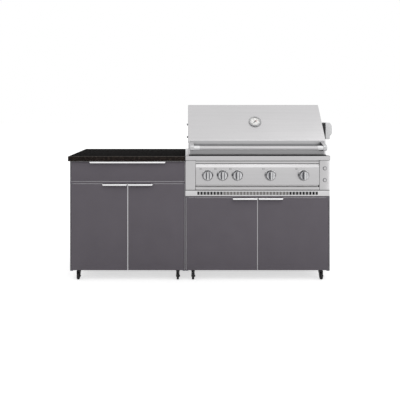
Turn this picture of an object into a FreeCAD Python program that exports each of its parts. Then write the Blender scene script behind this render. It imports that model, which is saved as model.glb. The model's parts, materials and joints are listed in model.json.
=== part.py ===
"""Outdoor kitchen island: a drawer cabinet with a stone top beside a grill cabinet, on casters.

Millimetres, +Z up. While it is modelled, X runs from the left cabinet's left side, Y runs back from the plane of
the door faces and Z runs up from the floor. main() then moves every part so that the origin is on the floor under
the middle of the whole island.
"""

import FreeCAD
import Part
import math
import os

Vec = FreeCAD.Vector
ALONG_X = Vec(1, 0, 0)
ALONG_Y = Vec(0, 1, 0)
ALONG_Z = Vec(0, 0, 1)

# How finely round forms are drawn
PIN_SIDES = 12
ARC_FROM = 4.0

# Cabinet bodies
LEFT_WIDTH = 812.8
RIGHT_WIDTH = 1016.0
CASTER_HEIGHT = 70.0
BODY_HEIGHT = 772.4
BODY_DEPTH = 580.0
BOARD = 16.0
STRETCHER_DEPTH = 80.0
LIP = 3.5
EDGE_ROUND = 2.0

# Fronts and the gaps round them
FRONT_THICK = 16.0
FRONT_CLEAR = 2.0
REVEAL = 4.0
SIDE_REVEAL = 5.5
SPLIT = 8.0
TOP_REVEAL = 5.4
BOTTOM_REVEAL = 3.0
RAIL_FACE = 12.5
DRAWER_FRONT_HEIGHT = 137.0
RIGHT_RAIL_FACE = 9.0

# Pale stop frame behind the fronts
STOP_DEPTH = 14.0
STOP_STILE = 14.0
STOP_RAIL_LAP = 10.0
MULLION_WIDTH = 34.0
GAP_STRIP_FRONT = 3.0
GAP_STRIP_CLEAR = 0.5
SPLIT_STRIP_CLEAR = 1.0
SIDE_STRIP = 2.6

# Edge pulls
PULL_THICK = 2.5
PULL_REACH = 20.0
PULL_DROP = 12.5
PULL_TAB = 8.0
PULL_BEVEL = 7.0
DRAWER_PULL_LENGTH = 531.0
LEFT_PULL_LENGTH = 172.0
RIGHT_PULL_LENGTH = 172.0

# Door pivots
PIN_RADIUS = 2.5
PIN_INSET = 6.0
PIN_DEPTH = 12.0
PIN_CLEAR = 0.08
PIVOT_PLATE = 2.5
PIVOT_WIDTH = 17.0
PIVOT_SHOE_DEPTH = 55.0
PIVOT_LIFT = 0.5

# Shelf of the left cabinet
SHELF_RISE = 300.0
SHELF_FRONT = 60.0
SHELF_CLEAR = 0.5
SHELF_REST = 5.0
SHELF_REST_REACH = 9.0
SHELF_REST_INSET = 60.0

# Drawer box and its runners
DRAWER_DEPTH = 470.0
DRAWER_HEIGHT = 90.0
DRAWER_WALL = 12.0
DRAWER_BOTTOM = 6.0
DRAWER_LIFT = 4.0
RUNNER_SPACE = 12.7
RUNNER_HEIGHT = 45.0
RUNNER_SHEET = 1.5
RUNNER_LENGTH = 460.0
RUNNER_CLEAR = 0.3

# Openings in the backs, for the gas line and for air
SERVICE_WIDTH = 180.0
SERVICE_HEIGHT = 120.0
SERVICE_RISE = 120.0
AIR_SLOT_LENGTH = 220.0
AIR_SLOT_HEIGHT = 14.0
AIR_SLOT_PITCH = 34.0
AIR_SLOTS = 3
AIR_SLOT_RISE = 540.0

# Countertop
COUNTER_THICK = 34.0
COUNTER_FRONT = 15.0
COUNTER_BACK = 15.0
COUNTER_LEFT = 11.6
COUNTER_ROUND = 3.0

# Casters
WHEEL_RADIUS = 25.0
WHEEL_WIDTH = 17.0
WHEEL_CHAMFER = 3.0
WHEEL_SIDES = 16
AXLE_RADIUS = 4.0
AXLE_CLEAR = 0.08
FORK_GAP = 17.6
FORK_LEG = 2.8
FORK_NOSE = 7.0
CROWN_THICK = 4.5
CROWN_RADIUS = 17.0
CROWN_SIDES = 12
TRAIL = 20.0
RACEWAY_RADIUS = 19.0
RACEWAY_HEIGHT = 4.0
KING_PIN_RADIUS = 5.0
KING_PIN_CLEAR = 0.08
CASTER_GAP = 0.3
CASTER_PLATE = 3.0
CASTER_PLATE_SIZE = 60.0
CASTER_SIDE_INSET = 54.0
CASTER_END_INSET = 47.0

# Grill deck
SHEET = 2.0
DECK_RISE = 37.6
DECK_FRONT = 9.0
DECK_BACK = 15.0
DECK_SIDE = 2.2
DECK_JOINT = 0.5
RIM_HEIGHT = 31.0
RIM_ROUND = 3.0
SUPPORT_INSET = 8.0

# Grill front: stiles, header, control panel and apron, downwards from the deck's rim
STILE_WIDTH = 71.1
HEADER_HEIGHT = 26.0
HEADER_SETBACK = 13.0
PANEL_TOP_GAP = 3.0
BEVEL_HEIGHT = 23.0
PANEL_GAP = 1.5
PANEL_FACE = 2.0
PANEL_HEIGHT = 125.0
PANEL_TAB = 22.0
PANEL_RETURN = 18.0
FINGER_GAP = 13.0
TRAY_STRIP = 18.0
APRON_SEAM = 2.0
APRON_HEIGHT = 43.0
APRON_FOLD = 14.0
VENT_COUNT = 37
VENT_PITCH = 23.2
VENT_WIDTH = 12.0
VENT_HEIGHT = 22.0
VENT_DROP = 11.0
VENT_OPEN_LEFT = 8
VENT_OPEN_RIGHT = 9
VENT_BAFFLE_PLACE = 9.0

# Knobs and buttons
KNOB_SHARES = (-0.8057, -0.5665, -0.3273, 0.2046, 0.74)
KNOB_RADIUS = 30.0
KNOB_SKIRT = 34.0
KNOB_SEAT = 2.0
KNOB_DEPTH = 33.0
KNOB_BEVEL = 4.0
KNOB_SIDES = 16
KNOB_BAR_WIDTH = 14.0
KNOB_BAR_RISE = 24.0
KNOB_BAR_PROUD = 1.0
KNOB_RISE = 71.0
BEZEL_RADIUS = 40.0
BEZEL_DEPTH = 9.0
BEZEL_EDGE = 2.0
KNOB_CLEAR = 1.0
STEM_RADIUS = 4.0
STEM_CLEAR = 0.08
BUTTON_INSET = 34.5
BUTTON_SHARES = (0.322, 0.721)
BUTTON_RADIUS = 10.0
BUTTON_BODY = 20.0
BUTTON_BEVEL = 1.5
BUTTON_SIDES = 12
BUTTON_CLEAR = 0.3
BUTTON_TRAVEL = 4.0
RING_RADIUS = 14.5
RING_PROUD = 3.0
RING_EDGE = 1.5

# Firebox and what it holds
FIREBOX_CHEEK_GAP = 9.0
FIREBOX_FRONT = 95.0
FIREBOX_BACK = 500.0
REAR_GUARD = 44.0
FIREBOX_SHEET = 2.5
FUNNEL_TOP = 90.0
FUNNEL_INSET = 32.0
FIREBOX_FLANGE = 10.0
LEDGE_WIDTH = 14.0
GRATE_LEDGE = 22.0
TAMER_LEDGE = 88.0
GRATE_COUNT = 4
GRATE_THICK = 12.0
GRATE_GAP = 3.0
GRATE_BORDER = 9.0
GRATE_SLOTS = 7
GRATE_BAR = 13.0
TAMER_COUNT = 7
TAMER_WIDTH = 76.0
TAMER_RISE = 26.0
TAMER_SHEET = 1.5
BURNER_RADIUS = 12.5
BURNER_WALL = 1.5
BURNER_SIDES = 10
BURNER_MOUTH = 16.0
TWIN_SPREAD = 46.0
BURNER_CLEAR = 0.5

# Gas manifold
VALVE_FRONT = 20.0
VALVE_DEPTH = 40.0
VALVE_SIZE = 32.0
VALVE_NOSE = 9.0
VALVE_BORE = 8.0
ORIFICE_RADIUS = 5.0
ORIFICE_REACH = 30.0
PIPE_RADIUS = 10.0
PIPE_WALL = 1.5
PIPE_SIDES = 8
PIPE_DROP = 28.0
PIPE_PLACE = 44.0
INLET_GAP = 15.0
INLET_DROP = 70.0
INLET_RADIUS = 9.5
INLET_LENGTH = 15.0
INLET_CLEAR = 2.0

# Drip tray and its rails
TRAY_SHEET = 1.5
TRAY_DEPTH = 500.0
TRAY_WALL = 18.0
TRAY_HEADROOM = 4.0
TRAY_CLEAR = 0.3
TRAY_SIDE_GAP = 2.0
FINGER_DEPTH = 20.0
TRAY_PANEL_CLEAR = 2.0
RAIL_LEDGE = 12.0

# Hood
HOOD_SIDE_INSET = 20.5
HOOD_SHEET = 1.5
HOOD_FRONT = 30.0
HOOD_LIFT = 6.0
HOOD_KNEE = 105.0
HOOD_SLOPE_RUN = 200.0
HOOD_HEIGHT = 358.0
HOOD_TOP_DEPTH = 210.0
HOOD_BACK = 535.0
HOOD_BACK_RISE = 50.0
HOOD_KNEE_ROUND = 8.0
HOOD_TOP_ROUND = 22.0
HOOD_RIB_WIDTH = 52.0
HOOD_RIB_SHEET = 2.0
HINGE_FORWARD = 19.0
HINGE_DROP = 15.0
HINGE_RADIUS = 5.0
HINGE_CLEAR = 0.08
HINGE_EYE = 14.0

# Side cheeks that stand inside the hood's ends
CHEEK_SHEET = 2.5
CHEEK_INSET = 6.0
CHEEK_GAP = 5.0
CHEEK_ROUND = 50.0
CHEEK_BEHIND_HINGE = 11.0
RIB_GAP = 1.2
SPIT_BEHIND = 220.0
SPIT_RISE = 163.0
SPIT_HOLE = 9.5
BRACKET_SCREW_SPREAD = 93.0
SCREW_RADIUS = 8.0
SCREW_REACH = 17.0
SCREW_HEAD = 8.0
SCREW_NECK = 4.5

# Handle and its brackets
HANDLE_RADIUS = 13.5
HANDLE_WALL = 2.0
HANDLE_SIDES = 12
HANDLE_REACH = 70.0
HANDLE_RISE = 58.0
FERRULE_LENGTH = 38.0
FERRULE_WALL = 2.0
BRACKET_WIDTH = 28.0
BRACKET_INSET = 11.5
BRACKET_NOSE = 17.0
BRACKET_TOP = 97.0
BRACKET_FOOT = 30.0

# Thermometer
DIAL_PLACE = 0.5067
DIAL_CASE = 46.0
DIAL_FACE = 35.0
DIAL_SIDES = 24
DIAL_PROUD = 14.0
DIAL_TAPER = 4.0
DIAL_FLOOR = 5.0
DIAL_GLASS = 2.0
DIAL_STEM = 4.0
DIAL_STEM_LENGTH = 55.0
STEM_HOLE_CLEAR = 0.5
NEEDLE_LENGTH = 27.0
NEEDLE_TAIL = 9.0
NEEDLE_THICK = 1.2
NEEDLE_HALF = 3.0
NEEDLE_PIN = 1.5
NEEDLE_CLEAR = 0.05

# Rotisserie motor
GEARCASE_REACH = 56.0
GEARCASE_DEPTH = 92.0
GEARCASE_HEIGHT = 117.0
COVER_REACH = 51.0
COVER_HEIGHT = 125.0
COVER_DEPTH = 98.0
COVER_ROUND = 12.0
COVER_FOOT_SETBACK = 20.0
COVER_FOOT_HEIGHT = 24.0
COVER_SWELL = 46.0
COVER_CROWN = 26.0
CHUCK_RADIUS = 8.0
CHUCK_HOLE = 8.0
CHUCK_CLEAR = 0.4
CHUCK_REACH = 24.0

# Levels and places that follow from the sizes above
BODY_BOTTOM = CASTER_HEIGHT
BODY_TOP = BODY_BOTTOM + BODY_HEIGHT
STOP_FRONT = FRONT_THICK + FRONT_CLEAR
REBATE = STOP_FRONT + STOP_DEPTH
BACK_FACE = BODY_DEPTH - BOARD
RIGHT_START = LEFT_WIDTH
RIGHT_END = LEFT_WIDTH + RIGHT_WIDTH
DOOR_BOTTOM = BODY_BOTTOM + BOTTOM_REVEAL
DRAWER_TOP = BODY_TOP - TOP_REVEAL
DRAWER_FRONT_BOTTOM = DRAWER_TOP - DRAWER_FRONT_HEIGHT
LEFT_RAIL_TOP = DRAWER_FRONT_BOTTOM - REVEAL
LEFT_RAIL_BOTTOM = LEFT_RAIL_TOP - RAIL_FACE
LEFT_DOOR_TOP = LEFT_RAIL_BOTTOM - REVEAL
DECK_TOP = BODY_TOP + DECK_RISE
RIM_BOTTOM = DECK_TOP - RIM_HEIGHT
HEADER_BOTTOM = RIM_BOTTOM - HEADER_HEIGHT
BEVEL_TOP = HEADER_BOTTOM - PANEL_TOP_GAP
PANEL_TOP = BEVEL_TOP - BEVEL_HEIGHT
PANEL_BOTTOM = PANEL_TOP - PANEL_HEIGHT
STRIP_TOP = PANEL_BOTTOM - FINGER_GAP
STRIP_BOTTOM = STRIP_TOP - TRAY_STRIP
APRON_TOP = STRIP_BOTTOM - 2 * APRON_SEAM
APRON_BOTTOM = APRON_TOP - APRON_HEIGHT
RIGHT_RAIL_BOTTOM = APRON_BOTTOM - RIGHT_RAIL_FACE
RIGHT_DOOR_TOP = RIGHT_RAIL_BOTTOM - REVEAL
GRILL_MIDDLE = RIGHT_START + RIGHT_WIDTH / 2
PANEL_LEFT = RIGHT_START + STILE_WIDTH
PANEL_RIGHT = RIGHT_END - STILE_WIDTH
KNOB_LEVEL = PANEL_BOTTOM + KNOB_RISE
KNOB_PLACES = [share * (PANEL_RIGHT - PANEL_LEFT) / 2 for share in KNOB_SHARES]
BUTTON_RISES = [share * (RIM_BOTTOM - STRIP_BOTTOM) for share in BUTTON_SHARES]
BUTTON_PROUD = RING_PROUD + BUTTON_TRAVEL
INLET_X = PANEL_RIGHT + INLET_GAP
INLET_Z = KNOB_LEVEL - PIPE_DROP - INLET_DROP
HOOD_LEFT = RIGHT_START + HOOD_SIDE_INSET
HOOD_RIGHT = RIGHT_END - HOOD_SIDE_INSET
CHEEK_LEFT = HOOD_LEFT + CHEEK_INSET
CHEEK_RIGHT = HOOD_RIGHT - CHEEK_INSET
FIREBOX_LEFT = CHEEK_LEFT + CHEEK_SHEET + FIREBOX_CHEEK_GAP
FIREBOX_RIGHT = CHEEK_RIGHT - CHEEK_SHEET - FIREBOX_CHEEK_GAP
FIREBOX_WIDTH = FIREBOX_RIGHT - FIREBOX_LEFT
FIREBOX_TOP = DECK_TOP - SHEET
TRAY_BOTTOM = APRON_TOP + APRON_SEAM
FIREBOX_BOTTOM = TRAY_BOTTOM + TRAY_WALL + TRAY_HEADROOM
HOOD_BOTTOM = DECK_TOP + HOOD_LIFT
HOOD_KNEE_LEVEL = DECK_TOP + HOOD_KNEE
HOOD_TOP = DECK_TOP + HOOD_HEIGHT
HOOD_TOP_FRONT = HOOD_FRONT + HOOD_SLOPE_RUN
HOOD_TOP_BACK = HOOD_TOP_FRONT + HOOD_TOP_DEPTH
HOOD_BACK_BOTTOM = DECK_TOP + HOOD_BACK_RISE
HINGE_Y = HOOD_BACK - HINGE_FORWARD
HINGE_Z = HOOD_BACK_BOTTOM - HINGE_DROP
SPIT_Y = HOOD_FRONT + SPIT_BEHIND
SPIT_Z = DECK_TOP + SPIT_RISE
HANDLE_Y = HOOD_FRONT - HANDLE_REACH
HANDLE_Z = DECK_TOP + HANDLE_RISE
COVER_END = CHEEK_RIGHT + GEARCASE_REACH + COVER_REACH
CASTER_FRONT_Y = CASTER_END_INSET
CASTER_BACK_Y = BODY_DEPTH - CASTER_END_INSET

# The box round the whole island, which sets the origin
ISLAND_LEFT = -COUNTER_LEFT
ISLAND_RIGHT = COVER_END
ISLAND_FRONT = min(HANDLE_Y - BRACKET_NOSE, PANEL_FACE - KNOB_SEAT - KNOB_DEPTH - KNOB_BAR_RISE)
ISLAND_BACK = BODY_DEPTH + max(COUNTER_BACK, DECK_BACK)
ORIGIN = Vec((ISLAND_LEFT + ISLAND_RIGHT) / 2, (ISLAND_FRONT + ISLAND_BACK) / 2, 0)

# A plane is named by its two axes, and a prism grows along the third.
PLANES = {
    "XY": lambda u, v, w: Vec(u, v, w),
    "YZ": lambda u, v, w: Vec(w, u, v),
    "XZ": lambda u, v, w: Vec(u, w, v),
}


def box(x0, x1, y0, y1, z0, z1):
    """Block between two corners."""
    return Part.makeBox(x1 - x0, y1 - y0, z1 - z0, Vec(x0, y0, z0))


def rod(radius, start, direction, length):
    """Round bar from a point."""
    return Part.makeCylinder(radius, length, start, direction)


def closed_wire(plane, points, radii, level):
    """Closed outline through the points, rounded at every corner that has a radius.

    A radius below ARC_FROM becomes two short flats, so that thin folds stay light.
    """
    to_space = PLANES[plane]
    corners = [Vec(u, v, 0) for u, v in points]
    stations = []
    for i, corner in enumerate(corners):
        back = (corners[i - 1] - corner).normalize()
        ahead = (corners[(i + 1) % len(corners)] - corner).normalize()
        if radii[i] <= 0:
            stations.append((corner, None, corner))
            continue
        half = back.getAngle(ahead) / 2
        reach = radii[i] / math.tan(half)
        middle = (back + ahead).normalize()
        crest = corner + middle * (radii[i] / math.sin(half) - radii[i])
        stations.append((corner + back * reach, crest, corner + ahead * reach))
    edges = []
    for i, (entry, crest, leave) in enumerate(stations):
        before = stations[i - 1][2]
        if (entry - before).Length > 1e-6:
            ends = [to_space(p.x, p.y, level) for p in (before, entry)]
            edges.append(Part.makeLine(*ends))
        if crest is not None:
            spots = [to_space(p.x, p.y, level) for p in (entry, crest, leave)]
            if radii[i] < ARC_FROM:
                edges += [Part.makeLine(spots[0], spots[1]), Part.makeLine(spots[1], spots[2])]
            else:
                edges.append(Part.Arc(*spots).toShape())
    return Part.Wire(edges)


def prism(plane, points, low, high, radii=None):
    """Outline in a plane, grown from low to high along the third axis."""
    radii = radii or [0] * len(points)
    face = Part.Face(closed_wire(plane, points, radii, low))
    to_space = PLANES[plane]
    return face.extrude(to_space(0, 0, high) - to_space(0, 0, low))


def offset_path(points, distance):
    """The same open path, moved sideways to its left, with mitred corners."""
    spots = [Vec(u, v, 0) for u, v in points]
    runs = [(b - a).normalize() for a, b in zip(spots, spots[1:])]
    lefts = [Vec(-run.y, run.x, 0) for run in runs]
    moved = [spots[0] + lefts[0] * distance]
    for i in range(1, len(spots) - 1):
        middle = (lefts[i - 1] + lefts[i]).normalize()
        moved.append(spots[i] + middle * (distance / middle.dot(lefts[i])))
    moved.append(spots[-1] + lefts[-1] * distance)
    return [(p.x, p.y) for p in moved]


def bent_sheet(plane, path, thick, low, high, bends):
    """Folded sheet whose one face follows the path and whose thickness lies to the path's left.

    bends holds the inner radius of each fold, one for each corner between the path's ends.
    """
    other = offset_path(path, thick)
    face_radii = [0]
    back_radii = [0]
    for i, bend in enumerate(bends, start=1):
        (ax, ay), (bx, by), (cx, cy) = path[i - 1 : i + 2]
        turns_left = (bx - ax) * (cy - by) - (by - ay) * (cx - bx) > 0
        face_radii.append(bend + thick if turns_left and bend else bend)
        back_radii.append(bend if turns_left or not bend else bend + thick)
    face_radii.append(0)
    back_radii.append(0)
    points = list(path) + other[::-1]
    return prism(plane, points, low, high, face_radii + back_radii[::-1])


def flat_face(corners):
    """Flat face through the corners."""
    return Part.Face(Part.makePolygon(corners + [corners[0]]))


def stacked(sections, base, direction, across, sides):
    """Many-sided solid through regular polygons. The sections hold pairs of radius and place along the axis."""
    beside = direction.cross(across)
    rings = []
    for radius, along in sections:
        ring = []
        for i in range(sides):
            angle = 2 * math.pi * i / sides
            aim = across * math.cos(angle) + beside * math.sin(angle)
            ring.append(base + direction * along + aim * radius)
        rings.append(ring)
    faces = [flat_face(rings[0]), flat_face(rings[-1])]
    for low, high in zip(rings, rings[1:]):
        for i in range(sides):
            faces.append(flat_face([low[i - 1], low[i], high[i], high[i - 1]]))
    return Part.makeSolid(Part.Shell(faces))


def facet_rod(radius, start, direction, length, sides):
    """Straight bar whose outline is a regular polygon."""
    across = ALONG_Y if abs(direction.z) > 0.5 else ALONG_Z
    return stacked([(radius, 0), (radius, length)], start, direction, across, sides)


def pin(radius, start, direction, length):
    """Pin with flats, whose corners lie on the radius."""
    return facet_rod(radius, start, direction, length, PIN_SIDES)


def pin_hole(radius, start, direction, length):
    """Hole for a pin, whose flats lie on the radius."""
    return facet_rod(radius / math.cos(math.pi / PIN_SIDES), start, direction, length, PIN_SIDES)


def joined(shapes):
    """One solid from pieces that overlap or touch."""
    whole = shapes[0].multiFuse(shapes[1:]) if len(shapes) > 1 else shapes[0]
    return whole.removeSplitter()


def mirrored(shape, middle):
    """The same shape on the other side of a plane across X."""
    return shape.mirror(Vec(middle, 0, 0), ALONG_X)


def side_board(outer, inward, lip_top):
    """Side board with a lip that flanks the fronts and a rebate for the stop frame."""
    plan = [(0, 0), (LIP, 0), (LIP, REBATE), (BOARD, REBATE), (BOARD, BODY_DEPTH), (0, BODY_DEPTH)]
    points = [(outer + inward * across, along) for across, along in plan]
    board = prism("XY", points, BODY_BOTTOM, BODY_TOP)
    if lip_top < BODY_TOP:
        ends = sorted((outer, outer + inward * LIP))
        board = board.cut(box(*ends, 0, REBATE, lip_top, BODY_TOP))
    return board


def back_board(start, end, serviced):
    """Back board with air slots, and with openings for the gas lines where they are asked for."""
    board = box(start + BOARD, end - BOARD, BACK_FACE, BODY_DEPTH, BODY_BOTTOM, BODY_TOP)
    middle = (start + end) / 2
    holes = []
    for i in range(AIR_SLOTS):
        low = BODY_BOTTOM + AIR_SLOT_RISE + i * AIR_SLOT_PITCH
        half = AIR_SLOT_LENGTH / 2
        holes.append(box(middle - half, middle + half, BACK_FACE, BODY_DEPTH, low, low + AIR_SLOT_HEIGHT))
    if serviced:
        half = SERVICE_WIDTH / 2
        low = BODY_BOTTOM + SERVICE_RISE
        corners = [(middle - half, low), (middle + half, low)]
        corners += [(middle + half, low + SERVICE_HEIGHT), (middle - half, low + SERVICE_HEIGHT)]
        holes.append(prism("XZ", corners, BACK_FACE, BODY_DEPTH))
        holes.append(pin_hole(PIPE_RADIUS + INLET_CLEAR, Vec(INLET_X, BACK_FACE, INLET_Z), ALONG_Y, BOARD))
    for hole in holes:
        board = board.cut(hole)
    return board


def left_carcass():
    """Boards of the drawer cabinet."""
    inner = (BOARD, LEFT_WIDTH - BOARD)
    low_stretcher = BODY_TOP - BOARD
    front_end = STOP_FRONT + STRETCHER_DEPTH
    return [
        side_board(0, 1, BODY_TOP),
        side_board(LEFT_WIDTH, -1, BODY_TOP),
        box(*inner, REBATE, BACK_FACE, BODY_BOTTOM, BODY_BOTTOM + BOARD),
        back_board(0, LEFT_WIDTH, False),
        box(*inner, REBATE, front_end, low_stretcher, BODY_TOP),
        box(*inner, BACK_FACE - STRETCHER_DEPTH, BACK_FACE, low_stretcher, BODY_TOP),
        box(LIP, LEFT_WIDTH - LIP, 0, STOP_FRONT, LEFT_RAIL_BOTTOM, LEFT_RAIL_TOP),
    ] + shelf_rests()


def shelf_rests():
    """Four flat supports that carry the shelf, two on each side board."""
    top = BODY_BOTTOM + SHELF_RISE
    low = top - SHELF_REST
    rests = []
    for y in (SHELF_FRONT + SHELF_REST_INSET, BACK_FACE - SHELF_REST_INSET):
        rest = box(BOARD, BOARD + SHELF_REST_REACH, y - SHELF_REST, y + SHELF_REST, low, top)
        rests += [rest, mirrored(rest, LEFT_WIDTH / 2)]
    return rests


def left_shelf():
    """Loose shelf on its supports."""
    low = BODY_BOTTOM + SHELF_RISE
    x0, x1 = BOARD + SHELF_CLEAR, LEFT_WIDTH - BOARD - SHELF_CLEAR
    return box(x0, x1, SHELF_FRONT, BACK_FACE - SHELF_CLEAR, low, low + BOARD)


def right_carcass():
    """Boards of the grill cabinet, open above for the grill."""
    inner = (RIGHT_START + BOARD, RIGHT_END - BOARD)
    return [
        side_board(RIGHT_START, 1, APRON_BOTTOM),
        side_board(RIGHT_END, -1, APRON_BOTTOM),
        box(*inner, REBATE, BACK_FACE, BODY_BOTTOM, BODY_BOTTOM + BOARD),
        back_board(RIGHT_START, RIGHT_END, True),
        box(RIGHT_START + LIP, RIGHT_END - LIP, 0, STOP_FRONT, RIGHT_RAIL_BOTTOM, APRON_BOTTOM),
    ]


def stop_frame(start, end, top, rails):
    """Pale frame that the fronts close on: two stiles, a sill, the rails given and a mullion behind the split."""
    left, right = start + LIP, end - LIP
    inner_left, inner_right = left + STOP_STILE, right - STOP_STILE
    middle = (start + end) / 2
    half = MULLION_WIDTH / 2
    sill_top = BODY_BOTTOM + BOARD + STOP_RAIL_LAP
    bars = [
        box(left, inner_left, STOP_FRONT, REBATE, BODY_BOTTOM, top),
        box(inner_right, right, STOP_FRONT, REBATE, BODY_BOTTOM, top),
        box(inner_left, inner_right, STOP_FRONT, REBATE, BODY_BOTTOM, sill_top),
        box(middle - half, middle + half, STOP_FRONT, REBATE, sill_top, rails[0][0]),
    ]
    for low, high in rails:
        bars.append(box(inner_left, inner_right, STOP_FRONT, REBATE, low, high))
    return bars


def door_gap_strips(start, end, door_top, rail_low, pull_length):
    """Strips on the stop frame that fill the gaps round a pair of doors: sides, split and the doors' tops."""
    middle = (start + end) / 2
    left, right = start + LIP, end - LIP
    half = SPLIT / 2 - SPLIT_STRIP_CLEAR
    near = left + PIVOT_WIDTH + GAP_STRIP_CLEAR
    far = middle - SPLIT / 2 - pull_length - GAP_STRIP_CLEAR
    over = box(near, far, GAP_STRIP_FRONT, STOP_FRONT, door_top + GAP_STRIP_CLEAR, rail_low)
    return [
        box(left, left + SIDE_STRIP, GAP_STRIP_FRONT, STOP_FRONT, BODY_BOTTOM, door_top),
        box(right - SIDE_STRIP, right, GAP_STRIP_FRONT, STOP_FRONT, BODY_BOTTOM, door_top),
        box(middle - half, middle + half, GAP_STRIP_FRONT, STOP_FRONT, BODY_BOTTOM, rail_low),
        over,
        mirrored(over, middle),
    ]


def drawer_gap_strips():
    """Strips that fill the gaps below, above and beside the drawer front."""
    left, right = LIP, LEFT_WIDTH - LIP
    pull_crest = DRAWER_TOP + PULL_THICK
    low = DRAWER_FRONT_BOTTOM - GAP_STRIP_CLEAR
    high = pull_crest + GAP_STRIP_CLEAR
    return [
        box(left, right, GAP_STRIP_FRONT, STOP_FRONT, LEFT_RAIL_TOP, low),
        box(left, right, GAP_STRIP_FRONT, STOP_FRONT, high, BODY_TOP),
        box(left, left + SIDE_STRIP, GAP_STRIP_FRONT, STOP_FRONT, low, high),
        box(right - SIDE_STRIP, right, GAP_STRIP_FRONT, STOP_FRONT, low, high),
    ]


def left_stop_frame():
    """Stop frame of the drawer cabinet, with a middle rail and a top rail."""
    middle_rail = (LEFT_DOOR_TOP - STOP_RAIL_LAP, DRAWER_FRONT_BOTTOM + STOP_RAIL_LAP)
    top_rail = (BODY_TOP - BOARD, BODY_TOP)
    bars = stop_frame(0, LEFT_WIDTH, BODY_TOP, [middle_rail, top_rail])
    strips = door_gap_strips(0, LEFT_WIDTH, LEFT_DOOR_TOP, LEFT_RAIL_BOTTOM, LEFT_PULL_LENGTH)
    return bars + strips + drawer_gap_strips()


def right_stop_frame():
    """Stop frame of the grill cabinet, below the grill's apron."""
    top_rail = (RIGHT_DOOR_TOP - STOP_RAIL_LAP, APRON_BOTTOM)
    bars = stop_frame(RIGHT_START, RIGHT_END, APRON_BOTTOM, [top_rail])
    return bars + door_gap_strips(RIGHT_START, RIGHT_END, RIGHT_DOOR_TOP, RIGHT_RAIL_BOTTOM, RIGHT_PULL_LENGTH)


def front_leaf(x0, x1, z0, z1):
    """Drawer front or door leaf with rounded front edges."""
    points = [(x0, 0), (x1, 0), (x1, FRONT_THICK), (x0, FRONT_THICK)]
    return prism("XY", points, z0, z1, [EDGE_ROUND, EDGE_ROUND, 0, 0])


def door_leaf(x0, x1, top, pin_x):
    """Door leaf with a blind pivot hole in its top and bottom edges."""
    leaf = front_leaf(x0, x1, DOOR_BOTTOM, top)
    radius = PIN_RADIUS + PIN_CLEAR
    depth = PIN_DEPTH + PIN_CLEAR
    leaf = leaf.cut(pin_hole(radius, Vec(pin_x, PIN_INSET, DOOR_BOTTOM), ALONG_Z, depth))
    return leaf.cut(pin_hole(radius, Vec(pin_x, PIN_INSET, top), -ALONG_Z, depth))


def edge_pull(x0, x1, top):
    """Angle profile that hooks over the top edge of a front, with bevelled ends."""
    crest = top + PULL_THICK
    bottom = crest - PULL_DROP
    path = [(PULL_TAB, crest), (-PULL_REACH, crest), (-PULL_REACH, bottom)]
    pull = bent_sheet("YZ", path, PULL_THICK, x0, x1, [0.5])
    for end, inward in ((x0, 1), (x1, -1)):
        corner = [(end, bottom), (end + inward * PULL_BEVEL, bottom), (end, bottom + PULL_BEVEL)]
        pull = pull.cut(prism("XZ", corner, -PULL_REACH, -PULL_REACH + PULL_THICK))
    return pull


def door_set():
    """Name, outline and hinge side of each door: left and right edges, top, pin place and inner edge."""
    left_middle = LEFT_WIDTH / 2
    right_middle = GRILL_MIDDLE
    side = LIP + SIDE_REVEAL
    half = SPLIT / 2
    return {
        "left_outer_door": (side, left_middle - half, LEFT_DOOR_TOP, 1),
        "left_inner_door": (left_middle + half, LEFT_WIDTH - side, LEFT_DOOR_TOP, -1),
        "right_inner_door": (RIGHT_START + side, right_middle - half, RIGHT_DOOR_TOP, 1),
        "right_outer_door": (right_middle + half, RIGHT_END - side, RIGHT_DOOR_TOP, -1),
    }


def pin_place(door):
    """X of a door's pivot pins."""
    x0, x1, _, inward = door
    return x0 + PIN_INSET if inward > 0 else x1 - PIN_INSET


def pull_span(door):
    """X range of a door's pull, which ends at the split."""
    x0, x1, top, inward = door
    length = LEFT_PULL_LENGTH if top == LEFT_DOOR_TOP else RIGHT_PULL_LENGTH
    return (x1 - length, x1) if inward > 0 else (x0, x0 + length)


def pivot_brackets():
    """Top and bottom brackets of every door, each with its pin riveted in."""
    brackets = []
    for door in door_set().values():
        x0, x1, top, inward = door
        pin_x = pin_place(door)
        outer = x0 - SIDE_REVEAL if inward > 0 else x1 + SIDE_REVEAL
        ends = sorted((outer, outer + inward * PIVOT_WIDTH))
        plate_low = top + PIVOT_LIFT
        plate = box(*ends, PIN_INSET - 2 * PIN_RADIUS, STOP_FRONT, plate_low, plate_low + PIVOT_PLATE)
        low_end = PIVOT_PLATE + PIVOT_LIFT + PIN_DEPTH
        upper = pin(PIN_RADIUS, Vec(pin_x, PIN_INSET, plate_low + PIVOT_PLATE), -ALONG_Z, low_end)
        brackets.append(joined([plate, upper]))
        shoe_low = BODY_BOTTOM - PIVOT_PLATE
        shoe = box(*ends, PIN_INSET - 2 * PIN_RADIUS, PIVOT_SHOE_DEPTH, shoe_low, BODY_BOTTOM)
        reach = 2 * PIN_RADIUS
        collar = box(pin_x - reach, pin_x + reach, PIN_INSET - reach, PIN_INSET + reach, BODY_BOTTOM,
                     DOOR_BOTTOM - PIVOT_LIFT)
        high_end = PIVOT_PLATE + BOTTOM_REVEAL + PIN_DEPTH
        lower = pin(PIN_RADIUS, Vec(pin_x, PIN_INSET, shoe_low), ALONG_Z, high_end)
        brackets.append(joined([shoe, collar, lower]))
    return brackets


def drawer_levels():
    """Bottom and top of the drawer box, and the middle of its runners."""
    bottom = DRAWER_FRONT_BOTTOM + STOP_RAIL_LAP + DRAWER_LIFT
    return bottom, bottom + DRAWER_HEIGHT, bottom + DRAWER_HEIGHT / 2


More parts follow.
